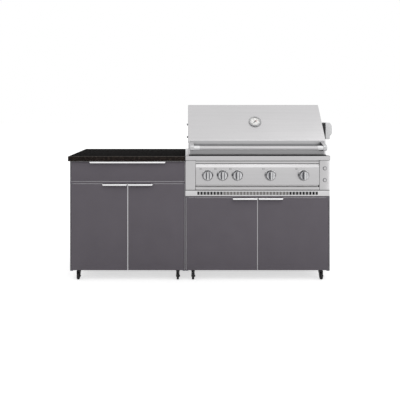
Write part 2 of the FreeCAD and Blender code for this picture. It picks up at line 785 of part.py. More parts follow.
def drawer_box():
    """Sides, ends and bottom of the drawer."""
    bottom, top, _ = drawer_levels()
    x0, x1 = BOARD + RUNNER_SPACE, LEFT_WIDTH - BOARD - RUNNER_SPACE
    y0, y1 = FRONT_THICK, FRONT_THICK + DRAWER_DEPTH
    inner = (x0 + DRAWER_WALL, x1 - DRAWER_WALL)
    return [
        box(x0, inner[0], y0, y1, bottom, top),
        box(inner[1], x1, y0, y1, bottom, top),
        box(*inner, y0, y0 + DRAWER_WALL, bottom, top),
        box(*inner, y1 - DRAWER_WALL, y1, bottom, top),
        box(*inner, y0 + DRAWER_WALL, y1 - DRAWER_WALL, bottom, bottom + DRAWER_BOTTOM),
    ]


def drawer_runners():
    """Fixed channels on the side boards."""
    _, _, level = drawer_levels()
    half = RUNNER_HEIGHT / 2
    reach = BOARD + RUNNER_SPACE - RUNNER_CLEAR
    path = [(reach, level + half), (BOARD, level + half), (BOARD, level - half), (reach, level - half)]
    start = REBATE + RUNNER_CLEAR
    channel = bent_sheet("XZ", path, RUNNER_SHEET, start, start + RUNNER_LENGTH, [0, 0])
    return [channel, mirrored(channel, LEFT_WIDTH / 2)]


def drawer_slides():
    """Moving channels on the drawer's sides, which run inside the fixed ones."""
    _, _, level = drawer_levels()
    half = RUNNER_HEIGHT / 2 - RUNNER_SHEET - RUNNER_CLEAR
    outer = BOARD + RUNNER_SPACE
    inner = LIP + STOP_STILE + RUNNER_CLEAR
    path = [(inner, level - half), (outer, level - half), (outer, level + half), (inner, level + half)]
    start = REBATE + RUNNER_CLEAR
    channel = bent_sheet("XZ", path, RUNNER_SHEET, start, start + RUNNER_LENGTH, [0, 0])
    return [channel, mirrored(channel, LEFT_WIDTH / 2)]


def countertop():
    """Stone slab with eased top edges."""
    slab = box(ISLAND_LEFT, LEFT_WIDTH, -COUNTER_FRONT, BODY_DEPTH + COUNTER_BACK, BODY_TOP,
               BODY_TOP + COUNTER_THICK)
    top = BODY_TOP + COUNTER_THICK
    eased = []
    for edge in slab.Edges:
        middle = edge.CenterOfMass
        if abs(middle.z - top) < 0.1 and middle.x < LEFT_WIDTH - 1:
            eased.append(edge)
    return slab.makeFillet(COUNTER_ROUND, eased)


def caster_columns():
    """X of the casters: two under each cabinet."""
    inset = CASTER_SIDE_INSET
    return [inset, LEFT_WIDTH - inset, RIGHT_START + inset, RIGHT_END - inset]


def caster_wheel(x, y):
    """Wheel with a chamfered tread, bored for its axle."""
    half = WHEEL_WIDTH / 2
    shoulder = WHEEL_RADIUS - WHEEL_CHAMFER
    sections = [(shoulder, -half), (WHEEL_RADIUS, WHEEL_CHAMFER - half), (WHEEL_RADIUS, half - WHEEL_CHAMFER)]
    sections.append((shoulder, half))
    middle = Vec(x, y, WHEEL_RADIUS)
    wheel = stacked(sections, middle, ALONG_X, -ALONG_Z, WHEEL_SIDES)
    return wheel.cut(pin_hole(AXLE_RADIUS + AXLE_CLEAR, middle - ALONG_X * half, ALONG_X, WHEEL_WIDTH))


def fork_legs(x, axle_y, crown_y, crown_top):
    """Two cheeks of a caster's fork, tapered from the crown to a round nose at the axle, with the axle."""
    crown_low = crown_top - CROWN_THICK
    back, front = crown_y + CROWN_RADIUS, axle_y - FORK_NOSE - CROWN_THICK
    bevel = FORK_NOSE / 2
    points = [(front, crown_top), (axle_y - FORK_NOSE, WHEEL_RADIUS - bevel)]
    points += [(axle_y - bevel, WHEEL_RADIUS - FORK_NOSE), (axle_y + bevel, WHEEL_RADIUS - FORK_NOSE)]
    points += [(axle_y + FORK_NOSE, WHEEL_RADIUS - bevel), (back, crown_low), (back, crown_top)]
    half = FORK_GAP / 2
    legs = [prism("YZ", points, x - half - FORK_LEG, x - half)]
    legs.append(prism("YZ", points, x + half, x + half + FORK_LEG))
    start = Vec(x - half - FORK_LEG, axle_y, WHEEL_RADIUS)
    axle = facet_rod(AXLE_RADIUS, start, ALONG_X, FORK_GAP + 2 * FORK_LEG, CROWN_SIDES)
    width = half + FORK_LEG
    crown = box(x - width, x + width, front, back, crown_low, crown_top)
    return legs + [axle, crown]


def swivel_levels():
    """Undersides of the front caster's plate and raceway, and the top of its crown."""
    plate_low = CASTER_HEIGHT - CASTER_PLATE
    race_low = plate_low - RACEWAY_HEIGHT
    return plate_low, race_low, race_low - CASTER_GAP


def swivel_fork(x):
    """Fork of a front caster, bored for its king pin."""
    _, _, crown_top = swivel_levels()
    pieces = fork_legs(x, CASTER_FRONT_Y - TRAIL, CASTER_FRONT_Y, crown_top)
    turntable = [(CROWN_RADIUS, -CROWN_THICK), (CROWN_RADIUS, 0)]
    pieces.append(stacked(turntable, Vec(x, CASTER_FRONT_Y, crown_top), ALONG_Z, ALONG_X, CROWN_SIDES))
    middle = Vec(x, CASTER_FRONT_Y, crown_top)
    bore = pin_hole(KING_PIN_RADIUS + KING_PIN_CLEAR, middle, -ALONG_Z, CROWN_THICK)
    return joined(pieces).cut(bore)


def caster_plate(x, y):
    """Top plate of a caster."""
    half = CASTER_PLATE_SIZE / 2
    return box(x - half, x + half, y - half, y + half, CASTER_HEIGHT - CASTER_PLATE, CASTER_HEIGHT)


def caster_mounts():
    """Front plates with raceway and king pin, and rear plates with their fixed forks."""
    plate_low, race_low, crown_top = swivel_levels()
    mounts = []
    for x in caster_columns():
        ring = [(RACEWAY_RADIUS, 0), (RACEWAY_RADIUS, RACEWAY_HEIGHT)]
        race = stacked(ring, Vec(x, CASTER_FRONT_Y, race_low), ALONG_Z, ALONG_X, CROWN_SIDES)
        foot = crown_top - CROWN_THICK
        king_pin = pin(KING_PIN_RADIUS, Vec(x, CASTER_FRONT_Y, foot), ALONG_Z, race_low - foot)
        mounts.append(joined([caster_plate(x, CASTER_FRONT_Y), race, king_pin]))
    for x in caster_columns():
        legs = fork_legs(x, CASTER_BACK_Y, CASTER_BACK_Y, plate_low)
        mounts.append(joined([caster_plate(x, CASTER_BACK_Y)] + legs))
    return mounts


def grill_deck():
    """Folded top of the grill with a rim on all sides, webs that stand on the cabinet and the firebox opening."""
    x0, x1 = RIGHT_START + DECK_JOINT, RIGHT_END + DECK_SIDE
    y0, y1 = -DECK_FRONT, BODY_DEPTH + DECK_BACK
    outer = box(x0, x1, y0, y1, RIM_BOTTOM, DECK_TOP)
    rounded = []
    for edge in outer.Edges:
        middle = edge.CenterOfMass
        if abs(middle.z - DECK_TOP) < 0.1 and (abs(middle.y - y0) < 0.1 or abs(middle.x - x1) < 0.1):
            rounded.append(edge)
    outer = outer.makeFillet(RIM_ROUND, rounded)
    hollow = box(x0 + SHEET, x1 - SHEET, y0 + SHEET, y1 - SHEET, RIM_BOTTOM, DECK_TOP - SHEET)
    deck = outer.cut(hollow)
    webs = []
    for web in (RIGHT_START + SUPPORT_INSET, RIGHT_END - SUPPORT_INSET - SHEET):
        webs.append(box(web, web + SHEET, REBATE, BODY_DEPTH, BODY_TOP, DECK_TOP - SHEET))
    opening = box(FIREBOX_LEFT, FIREBOX_RIGHT, FIREBOX_FRONT, FIREBOX_BACK, RIM_BOTTOM, DECK_TOP)
    return joined([deck] + webs).cut(opening)


def grill_front():
    """Stiles beside the control panel, header above it and vented apron below."""
    depth = REBATE
    path = [(RIGHT_START, depth), (RIGHT_START, 0), (PANEL_LEFT, 0), (PANEL_LEFT, depth)]
    stile = bent_sheet("XY", path, SHEET, STRIP_BOTTOM - APRON_SEAM, RIM_BOTTOM, [1, 1])
    right_stile = mirrored(stile, GRILL_MIDDLE)
    for rise in BUTTON_RISES:
        middle = Vec(RIGHT_END - BUTTON_INSET, 0, STRIP_BOTTOM + rise)
        hole = pin_hole(BUTTON_RADIUS + BUTTON_CLEAR, middle, ALONG_Y, SHEET)
        right_stile = right_stile.cut(hole)
    header = box(PANEL_LEFT, PANEL_RIGHT, HEADER_SETBACK, HEADER_SETBACK + SHEET, HEADER_BOTTOM, RIM_BOTTOM)
    path = [(APRON_FOLD, APRON_TOP), (0, APRON_TOP), (0, APRON_BOTTOM), (REBATE, APRON_BOTTOM)]
    apron = bent_sheet("YZ", path, SHEET, RIGHT_START, RIGHT_END, [1, 1])
    slot_top = APRON_TOP - VENT_DROP
    first = GRILL_MIDDLE - (VENT_COUNT - 1) * VENT_PITCH / 2 - VENT_WIDTH / 2
    slots = []
    for i in range(VENT_COUNT):
        x = first + i * VENT_PITCH
        slots.append(box(x, x + VENT_WIDTH, 0, SHEET, slot_top - VENT_HEIGHT, slot_top))
    baffle_left = first + VENT_OPEN_LEFT * VENT_PITCH
    baffle_right = first + (VENT_COUNT - VENT_OPEN_RIGHT) * VENT_PITCH
    baffle = box(baffle_left, baffle_right, VENT_BAFFLE_PLACE, VENT_BAFFLE_PLACE + SHEET, APRON_BOTTOM + SHEET,
                 APRON_TOP - SHEET)
    return [stile, right_stile, header, apron.cut(Part.makeCompound(slots)), baffle]


def control_panel():
    """Panel with a bevelled top that hooks up behind the header, pierced for the valve stems."""
    path = [(HEADER_SETBACK + SHEET, HEADER_BOTTOM + PANEL_TAB), (HEADER_SETBACK + SHEET, BEVEL_TOP + SHEET)]
    path += [(PANEL_FACE, PANEL_TOP), (PANEL_FACE, PANEL_BOTTOM), (PANEL_FACE + PANEL_RETURN, PANEL_BOTTOM)]
    panel = bent_sheet("YZ", path, SHEET, PANEL_LEFT + PANEL_GAP, PANEL_RIGHT - PANEL_GAP, [0.5, 1, 1])
    for place in KNOB_PLACES:
        start = Vec(GRILL_MIDDLE + place, PANEL_FACE, KNOB_LEVEL)
        panel = panel.cut(pin_hole(STEM_RADIUS + KNOB_CLEAR, start, ALONG_Y, SHEET))
    return panel


def knob(place):
    """Knob with a flared skirt, a raised grip bar and the stem that enters the valve."""
    x = GRILL_MIDDLE + place
    base = Vec(x, PANEL_FACE - KNOB_SEAT, KNOB_LEVEL)
    sections = [(KNOB_SKIRT, 0), (KNOB_SKIRT, BEZEL_DEPTH), (KNOB_RADIUS, KNOB_DEPTH - KNOB_BEVEL)]
    sections.append((KNOB_RADIUS - KNOB_BEVEL, KNOB_DEPTH))
    body = stacked(sections, base, -ALONG_Y, ALONG_Z, KNOB_SIDES)
    half = KNOB_BAR_WIDTH / 2
    reach = KNOB_RADIUS + KNOB_BAR_PROUD
    front = base.y - KNOB_DEPTH - KNOB_BAR_RISE
    shoulder = front + KNOB_BAR_RISE
    side = [(shoulder, KNOB_LEVEL - reach), (base.y - BEZEL_DEPTH, KNOB_LEVEL - reach)]
    side += [(base.y - BEZEL_DEPTH, KNOB_LEVEL + reach), (shoulder, KNOB_LEVEL + reach)]
    side += [(front + KNOB_BEVEL, KNOB_LEVEL + reach - 2 * KNOB_BEVEL)]
    side += [(front, KNOB_LEVEL + reach - 4 * KNOB_BEVEL), (front, KNOB_LEVEL - reach + 4 * KNOB_BEVEL)]
    side += [(front + KNOB_BEVEL, KNOB_LEVEL - reach + 2 * KNOB_BEVEL)]
    bar = prism("YZ", side, x - half, x + half)
    stem = facet_rod(STEM_RADIUS, base, ALONG_Y, VALVE_FRONT + 6 - base.y, PIPE_SIDES)
    return joined([body, bar, stem])


def bezel_ring(base, inner, outer, crest, depth, sides):
    """Ring round a control, whose face slopes from its crest out to the sheet."""
    slope = stacked([(outer, 0), (crest, depth)], base, -ALONG_Y, ALONG_Z, sides)
    return slope.cut(stacked([(inner, 0), (inner, depth)], base, -ALONG_Y, ALONG_Z, sides))


def control_bezels():
    """Rings round the knobs on the panel and round the buttons on the right stile."""
    rings = []
    inner = KNOB_SKIRT + KNOB_CLEAR
    for place in KNOB_PLACES:
        base = Vec(GRILL_MIDDLE + place, PANEL_FACE, KNOB_LEVEL)
        rings.append(bezel_ring(base, inner, BEZEL_RADIUS, inner + BEZEL_EDGE, BEZEL_DEPTH, KNOB_SIDES))
    inner = BUTTON_RADIUS + BUTTON_CLEAR
    for rise in BUTTON_RISES:
        base = Vec(RIGHT_END - BUTTON_INSET, 0, STRIP_BOTTOM + rise)
        rings.append(bezel_ring(base, inner, RING_RADIUS, RING_RADIUS - RING_EDGE, RING_PROUD, BUTTON_SIDES))
    return rings


def push_button(rise):
    """Round button with a bevelled front and a body behind the stile."""
    base = Vec(RIGHT_END - BUTTON_INSET, 0, STRIP_BOTTOM + rise)
    sections = [(BUTTON_RADIUS, -BUTTON_BODY), (BUTTON_RADIUS, BUTTON_PROUD - BUTTON_BEVEL)]
    sections.append((BUTTON_RADIUS - BUTTON_BEVEL, BUTTON_PROUD))
    return stacked(sections, base, -ALONG_Y, ALONG_Z, BUTTON_SIDES)


def rectangle(x0, x1, y0, y1, z):
    """Closed rectangle at one level."""
    return Part.makePolygon([Vec(x0, y0, z), Vec(x1, y0, z), Vec(x1, y1, z), Vec(x0, y1, z), Vec(x0, y0, z)])


def firebox_form(inset):
    """Solid form of the firebox, drawn in by inset: a straight part above a funnel."""
    x0, x1 = FIREBOX_LEFT + inset, FIREBOX_RIGHT - inset
    y0, y1 = FIREBOX_FRONT + inset, FIREBOX_BACK - inset
    knee = FIREBOX_BOTTOM + FUNNEL_TOP - FUNNEL_INSET
    low = rectangle(x0 + FUNNEL_INSET, x1 - FUNNEL_INSET, y0 + FUNNEL_INSET, y1 - FUNNEL_INSET, FIREBOX_BOTTOM)
    funnel = Part.makeLoft([low, rectangle(x0, x1, y0, y1, knee)], True, True)
    return joined([funnel, box(x0, x1, y0, y1, knee, FIREBOX_TOP)])


def firebox():
    """Open steel box with ledges for the grates and tamers, holes for the burners and rails for the drip tray."""
    shell = firebox_form(0).cut(firebox_form(FIREBOX_SHEET))
    reach = FIREBOX_FLANGE
    flange = box(FIREBOX_LEFT - reach, FIREBOX_RIGHT + reach, FIREBOX_FRONT - reach, FIREBOX_BACK + reach,
                 FIREBOX_TOP - SHEET, FIREBOX_TOP)
    flange = flange.cut(box(FIREBOX_LEFT, FIREBOX_RIGHT, FIREBOX_FRONT, FIREBOX_BACK, RIM_BOTTOM, DECK_TOP))
    x0, x1 = FIREBOX_LEFT + FIREBOX_SHEET, FIREBOX_RIGHT - FIREBOX_SHEET
    y0, y1 = FIREBOX_FRONT + FIREBOX_SHEET, FIREBOX_BACK - FIREBOX_SHEET
    ledges = []
    for drop in (GRATE_LEDGE, TAMER_LEDGE):
        top = DECK_TOP - drop
        ledges.append(box(x0, x1, y0, y0 + LEDGE_WIDTH, top - SHEET, top))
        ledges.append(box(x0, x1, y1 - LEDGE_WIDTH, y1, top - SHEET, top))
    guard = box(FIREBOX_LEFT, FIREBOX_RIGHT, y1, FIREBOX_BACK, FIREBOX_TOP, DECK_TOP + REAR_GUARD)
    shell = joined([shell, flange, guard] + ledges)
    holes = []
    for place in KNOB_PLACES:
        start = Vec(GRILL_MIDDLE + place, FIREBOX_FRONT, KNOB_LEVEL)
        holes.append(pin_hole(BURNER_RADIUS + BURNER_CLEAR, start, ALONG_Y, FIREBOX_SHEET))
    for hole in holes:
        shell = shell.cut(hole)
    rail_x = FIREBOX_LEFT + FUNNEL_INSET
    low = TRAY_BOTTOM - TRAY_CLEAR - SHEET
    path = [(rail_x + RAIL_LEDGE, low), (rail_x, low), (rail_x, FIREBOX_BOTTOM)]
    rail = bent_sheet("XZ", path[::-1], SHEET, FIREBOX_FRONT + FUNNEL_INSET, FIREBOX_BACK - FUNNEL_INSET, [0])
    return [shell, rail, mirrored(rail, GRILL_MIDDLE)]


def cooking_grates():
    """Cast grates side by side, each slotted along its depth."""
    x0 = FIREBOX_LEFT + FIREBOX_SHEET + GRATE_GAP
    room = FIREBOX_WIDTH - 2 * FIREBOX_SHEET - GRATE_GAP
    pitch = room / GRATE_COUNT
    width = pitch - GRATE_GAP
    y0, y1 = FIREBOX_FRONT + FIREBOX_SHEET + GRATE_GAP, FIREBOX_BACK - FIREBOX_SHEET - GRATE_GAP
    low = DECK_TOP - GRATE_LEDGE
    slot = (width - 2 * GRATE_BORDER - (GRATE_SLOTS - 1) * GRATE_BAR) / GRATE_SLOTS
    middle = (y0 + y1) / 2
    grate = box(x0, x0 + width, y0, y1, low, low + GRATE_THICK)
    slots = []
    for i in range(GRATE_SLOTS):
        start = x0 + GRATE_BORDER + i * (slot + GRATE_BAR)
        for near, far in ((y0 + GRATE_BORDER, middle - GRATE_BAR / 2), (middle + GRATE_BAR / 2, y1 - GRATE_BORDER)):
            slots.append(box(start, start + slot, near, far, low, low + GRATE_THICK))
    grate = grate.cut(Part.makeCompound(slots))
    return [grate.translated(Vec(i * pitch, 0, 0)) for i in range(GRATE_COUNT)]


def flame_tamers():
    """Roof-shaped sheets over the burners, which lie on the lower ledges."""
    y0, y1 = FIREBOX_FRONT + FIREBOX_SHEET + GRATE_GAP, FIREBOX_BACK - FIREBOX_SHEET - GRATE_GAP
    low = DECK_TOP - TAMER_LEDGE
    pitch = (FIREBOX_WIDTH - 2 * FIREBOX_SHEET) / TAMER_COUNT
    sheets = []
    for i in range(TAMER_COUNT):
        middle = FIREBOX_LEFT + FIREBOX_SHEET + (i + 0.5) * pitch
        half = TAMER_WIDTH / 2
        path = [(middle - half, low), (middle - half + 6, low), (middle, low + TAMER_RISE)]
        path += [(middle + half - 6, low), (middle + half, low)]
        sheets.append(bent_sheet("XZ", path, TAMER_SHEET, y0, y1, [0, 0, 0]))
    return sheets


def straight_burner(x):
    """Tube burner from its mouth in front of the firebox to the rear wall."""
    start = FIREBOX_FRONT - BURNER_MOUTH
    length = FIREBOX_BACK - FIREBOX_SHEET - start
    mouth = Vec(x, start, KNOB_LEVEL)
    outer = facet_rod(BURNER_RADIUS, mouth, ALONG_Y, length, BURNER_SIDES)
    return outer.cut(facet_rod(BURNER_RADIUS - BURNER_WALL, mouth, ALONG_Y, length - BURNER_WALL, BURNER_SIDES))


def twin_burner(x):
    """Burner whose mouth opens into a flat box that feeds two parallel tubes."""
    start = FIREBOX_FRONT - BURNER_MOUTH
    box_front = FIREBOX_FRONT + FIREBOX_SHEET + BURNER_RADIUS
    box_back = box_front + 2 * BURNER_RADIUS
    end = FIREBOX_BACK - FIREBOX_SHEET
    reach = TWIN_SPREAD + BURNER_RADIUS
    mouth = facet_rod(BURNER_RADIUS, Vec(x, start, KNOB_LEVEL), ALONG_Y, box_front - start, BURNER_SIDES)
    header = box(x - reach, x + reach, box_front, box_back, KNOB_LEVEL - BURNER_RADIUS, KNOB_LEVEL + BURNER_RADIUS)
    legs = []
    for side in (-1, 1):
        corner = Vec(x + side * TWIN_SPREAD, box_back, KNOB_LEVEL)
        legs.append(facet_rod(BURNER_RADIUS, corner, ALONG_Y, end - box_back, BURNER_SIDES))
    inner = BURNER_RADIUS - BURNER_WALL
    bore = facet_rod(inner, Vec(x, start, KNOB_LEVEL), ALONG_Y, BURNER_MOUTH, BURNER_SIDES)
    return joined([mouth, header] + legs).cut(bore)


def burners():
    """Three straight burners on the left and two twin burners on the right."""
    places = [GRILL_MIDDLE + place for place in KNOB_PLACES]
    return [straight_burner(x) for x in places[:3]] + [twin_burner(x) for x in places[3:]]


def gas_manifold():
    """Pipe with a valve behind each knob, led down and back to an inlet behind the cabinet."""
    level = KNOB_LEVEL
    panel_back = PANEL_FACE + SHEET
    pipe_z = level - PIPE_DROP
    first = GRILL_MIDDLE + KNOB_PLACES[0] - VALVE_SIZE
    pieces = [facet_rod(PIPE_RADIUS, Vec(first, PIPE_PLACE, pipe_z), ALONG_X, INLET_X - first, PIPE_SIDES)]
    elbow = PIPE_RADIUS + PIPE_WALL
    for z in (pipe_z, INLET_Z):
        pieces.append(box(INLET_X - elbow, INLET_X + elbow, PIPE_PLACE - elbow, PIPE_PLACE + elbow, z - elbow,
                          z + elbow))
    turn = Vec(INLET_X, PIPE_PLACE, INLET_Z)
    pieces.append(facet_rod(PIPE_RADIUS, turn, ALONG_Z, INLET_DROP, PIPE_SIDES))
    pieces.append(facet_rod(PIPE_RADIUS, turn, ALONG_Y, BODY_DEPTH - PIPE_PLACE, PIPE_SIDES))
    pieces.append(rod(INLET_RADIUS, Vec(INLET_X, BODY_DEPTH, INLET_Z), ALONG_Y, INLET_LENGTH))
    half = VALVE_SIZE / 2
    nose = VALVE_NOSE
    back = VALVE_FRONT + VALVE_DEPTH
    for place in KNOB_PLACES:
        x = GRILL_MIDDLE + place
        pieces.append(box(x - half, x + half, VALVE_FRONT, back, level - PIPE_DROP, level + half))
        pieces.append(box(x - nose, x + nose, panel_back, VALVE_FRONT, level - nose, level + nose))
        pieces.append(facet_rod(ORIFICE_RADIUS, Vec(x, back, level), ALONG_Y, ORIFICE_REACH, PIPE_SIDES))
    manifold = joined(pieces)
    for place in KNOB_PLACES:
        start = Vec(GRILL_MIDDLE + place, panel_back, level)
        bore = pin_hole(STEM_RADIUS + STEM_CLEAR, start, ALONG_Y, VALVE_FRONT - panel_back + VALVE_BORE)
        manifold = manifold.cut(bore)
    return manifold


def drip_tray():
    """Shallow pan behind a strip, with room between them for the fingers that draw it out."""
    x0, x1 = PANEL_LEFT + PANEL_GAP + TRAY_SIDE_GAP, PANEL_RIGHT - PANEL_GAP - TRAY_SIDE_GAP
    y0, y1 = SHEET + FINGER_DEPTH, TRAY_DEPTH
    floor_top = TRAY_BOTTOM + TRAY_SHEET
    outer = box(x0, x1, y0, y1, TRAY_BOTTOM, TRAY_BOTTOM + TRAY_WALL)
    inner = box(x0 + TRAY_SHEET, x1 - TRAY_SHEET, y0 + TRAY_SHEET, y1 - TRAY_SHEET, floor_top,
                TRAY_BOTTOM + TRAY_WALL)
    back_of_gap = box(x0, x1, y0, y0 + TRAY_SHEET, TRAY_BOTTOM, PANEL_BOTTOM - TRAY_PANEL_CLEAR)
    apron = box(x0, x1, SHEET, y0, TRAY_BOTTOM, floor_top)
    lip = box(x0, x1, SHEET, SHEET + TRAY_SHEET, TRAY_BOTTOM, STRIP_TOP)
    strip = box(PANEL_LEFT + PANEL_GAP, PANEL_RIGHT - PANEL_GAP, 0, SHEET, STRIP_BOTTOM, STRIP_TOP)
    return joined([outer.cut(inner), back_of_gap, apron, lip, strip])


def hood_outline():
    """Outside of the hood in the YZ plane, from its front lower edge over the top to its back lower edge."""
    return [
        (HOOD_FRONT, HOOD_BOTTOM),
        (HOOD_FRONT, HOOD_KNEE_LEVEL),
        (HOOD_TOP_FRONT, HOOD_TOP),
        (HOOD_TOP_BACK, HOOD_TOP),
        (HOOD_BACK, HOOD_BACK_BOTTOM),
    ]


def slope_frame():
    """A point on the hood's slope at the dial, the slope's outward normal and its upward direction."""
    low = Vec(0, HOOD_FRONT, HOOD_KNEE_LEVEL)
    high = Vec(0, HOOD_TOP_FRONT, HOOD_TOP)
    up = (high - low).normalize()
    spot = low + (high - low) * DIAL_PLACE
    normal = Vec(0, -up.z, up.y)
    return Vec(GRILL_MIDDLE, spot.y, spot.z), normal, up


def hood_rib(inner_face):
    """End rib that stiffens the hood and carries its hinge eye."""
    outer = offset_path(hood_outline(), -HOOD_SHEET)
    inner = offset_path(hood_outline(), -HOOD_RIB_WIDTH)
    eye_low = HINGE_Z - HINGE_EYE
    points = outer + [(HINGE_Y + HINGE_EYE * 0.7, eye_low), (HINGE_Y - HINGE_EYE, eye_low)]
    points += inner[:0:-1] + [(inner[0][0], HOOD_BOTTOM)]
    rib = prism("YZ", points, inner_face, inner_face + HOOD_RIB_SHEET)
    eye = pin_hole(HINGE_RADIUS + HINGE_CLEAR, Vec(inner_face, HINGE_Y, HINGE_Z), ALONG_X, HOOD_RIB_SHEET)
    return rib.cut(eye)


def hood():
    """Folded shell with a rib inside each end."""
    bends = [HOOD_KNEE_ROUND, HOOD_TOP_ROUND, HOOD_TOP_ROUND]
    outline = hood_outline()
    shell = bent_sheet("YZ", outline, -HOOD_SHEET, HOOD_LEFT, HOOD_RIGHT, bends)
    spot, normal, up = slope_frame()
    through = [(DIAL_STEM + STEM_HOLE_CLEAR, -2 * HOOD_SHEET), (DIAL_STEM + STEM_HOLE_CLEAR, 2 * HOOD_SHEET)]
    shell = shell.cut(stacked(through, spot, normal, up, PIN_SIDES))
    left = hood_rib(CHEEK_LEFT + CHEEK_SHEET + RIB_GAP)
    return joined([shell, left, mirrored(left, GRILL_MIDDLE)])


def side_cheek():
    """Left cheek: stands on the deck inside the hood's end, with the hinge stud and the spit hole."""
    outline = offset_path(hood_outline(), -(HOOD_SHEET + CHEEK_GAP))
    front = (outline[0][0], DECK_TOP)
    back = HINGE_Y + CHEEK_BEHIND_HINGE
    top_back, low_back = outline[3], outline[4]
    share = (back - top_back[0]) / (low_back[0] - top_back[0])
    corner = (back, top_back[1] + share * (low_back[1] - top_back[1]))
    points = [front] + outline[1:4] + [corner, (back, DECK_TOP)]
    radii = [0, CHEEK_ROUND, CHEEK_ROUND, CHEEK_ROUND / 2, 0, 0]
    plate = prism("YZ", points, CHEEK_LEFT, CHEEK_LEFT + CHEEK_SHEET, radii)
    plate = plate.cut(rod(SPIT_HOLE, Vec(CHEEK_LEFT, SPIT_Y, SPIT_Z), ALONG_X, CHEEK_SHEET))
    stud_length = RIB_GAP + HOOD_RIB_SHEET + 3
    stud = pin(HINGE_RADIUS, Vec(CHEEK_LEFT + CHEEK_SHEET, HINGE_Y, HINGE_Z), ALONG_X, stud_length)
    return joined([plate, stud])


def side_cheeks():
    """Both cheeks."""
    left = side_cheek()
    return [left, mirrored(left, GRILL_MIDDLE)]


def bracket_screws():
    """Round-headed screws: a pair left free in the left cheek, and the pair that holds the motor on the right."""
    screws = []
    for side in (-0.5, 0.5):
        level = SPIT_Z + side * BRACKET_SCREW_SPREAD
        start = Vec(CHEEK_LEFT, SPIT_Y, level)
        neck = facet_rod(SCREW_NECK, start, -ALONG_X, SCREW_REACH, PIPE_SIDES)
        crown = [(SCREW_RADIUS, SCREW_REACH - SCREW_HEAD), (SCREW_RADIUS, SCREW_REACH)]
        head = stacked(crown, start, -ALONG_X, ALONG_Z, CROWN_SIDES)
        screws.append(joined([neck, head]))
    return screws


def hood_handle():
    """Tube with a sleeve at each end."""
    left = HOOD_LEFT + BRACKET_INSET + BRACKET_WIDTH
    length = 2 * (GRILL_MIDDLE - left)
    start = Vec(left, HANDLE_Y, HANDLE_Z)
    bar = facet_rod(HANDLE_RADIUS, start, ALONG_X, length, HANDLE_SIDES)
    bar = bar.cut(facet_rod(HANDLE_RADIUS - HANDLE_WALL, start, ALONG_X, length, HANDLE_SIDES))
    sleeve = facet_rod(HANDLE_RADIUS + FERRULE_WALL, start, ALONG_X, FERRULE_LENGTH, HANDLE_SIDES)
    sleeve = sleeve.cut(facet_rod(HANDLE_RADIUS, start, ALONG_X, FERRULE_LENGTH, HANDLE_SIDES))
    return [bar, sleeve, mirrored(sleeve, GRILL_MIDDLE)]


def handle_brackets():
    """Wedge-shaped arms from the hood's lower band to the handle's ends."""
    left = HOOD_LEFT + BRACKET_INSET
    nose = BRACKET_NOSE
    points = [(HOOD_FRONT, DECK_TOP + BRACKET_TOP), (HOOD_FRONT, DECK_TOP + BRACKET_FOOT)]
    points += [(HANDLE_Y - nose, HANDLE_Z - nose), (HANDLE_Y - nose, HANDLE_Z + nose)]
    arm = prism("YZ", points, left, left + BRACKET_WIDTH, [0, 0, nose * 0.9, nose * 0.8])
    return [arm, mirrored(arm, GRILL_MIDDLE)]


def thermometer():
    """Dial case with a raised bezel, its glass and the stem through the hood."""
    spot, normal, up = slope_frame()
    case = stacked([(DIAL_CASE, 0), (DIAL_CASE - DIAL_TAPER, DIAL_PROUD)], spot, normal, up, DIAL_SIDES)
    recess = [(DIAL_FACE, DIAL_FLOOR), (DIAL_FACE, DIAL_PROUD)]
    case = case.cut(stacked(recess, spot, normal, up, DIAL_SIDES))
    axle = stacked([(NEEDLE_PIN, 0), (NEEDLE_PIN, DIAL_FLOOR + DIAL_TAPER)], spot, normal, up, PIPE_SIDES)
    stem = stacked([(DIAL_STEM, 0), (DIAL_STEM, DIAL_STEM_LENGTH)], spot, -normal, up, PIPE_SIDES)
    pane = DIAL_PROUD - DIAL_GLASS - 1
    glass = stacked([(DIAL_FACE, pane), (DIAL_FACE, pane + DIAL_GLASS)], spot, normal, up, DIAL_SIDES)
    return [joined([case, axle, stem]), glass]


def thermometer_needle():
    """Pointer on its pin, aimed down and to the left, at the cold end of the scale."""
    spot, normal, up = slope_frame()
    across = up.cross(normal)
    base = spot + normal * (DIAL_FLOOR + 1.5)
    aim = (-up - across).normalize()
    side = normal.cross(aim)
    tip = base + aim * NEEDLE_LENGTH
    root = base - aim * NEEDLE_TAIL
    outline = [tip, base + side * NEEDLE_HALF, root + side * NEEDLE_HALF, root - side * NEEDLE_HALF]
    outline.append(base - side * NEEDLE_HALF)
    blade = flat_face(outline).extrude(normal * NEEDLE_THICK)
    hole = (NEEDLE_PIN + NEEDLE_CLEAR) / math.cos(math.pi / PIN_SIDES)
    return blade.cut(stacked([(hole, 0), (hole, NEEDLE_THICK)], base, normal, up, PIN_SIDES))


def motor_gearcase():
    """Black gear case of the rotisserie motor, with the flange that its screws hold to the cheek."""
    half_y, half_z = GEARCASE_DEPTH / 2, GEARCASE_HEIGHT / 2
    points = [(SPIT_Y - half_y, SPIT_Z - half_z), (SPIT_Y + half_y, SPIT_Z - half_z)]
    points += [(SPIT_Y + half_y, SPIT_Z + half_z), (SPIT_Y - half_y, SPIT_Z + half_z)]
    case = prism("YZ", points, CHEEK_RIGHT, CHEEK_RIGHT + GEARCASE_REACH, [6] * 4)
    bore = pin_hole(CHUCK_RADIUS + CHUCK_CLEAR, Vec(CHEEK_RIGHT, SPIT_Y, SPIT_Z), ALONG_X, CHUCK_REACH)
    return case.cut(bore)


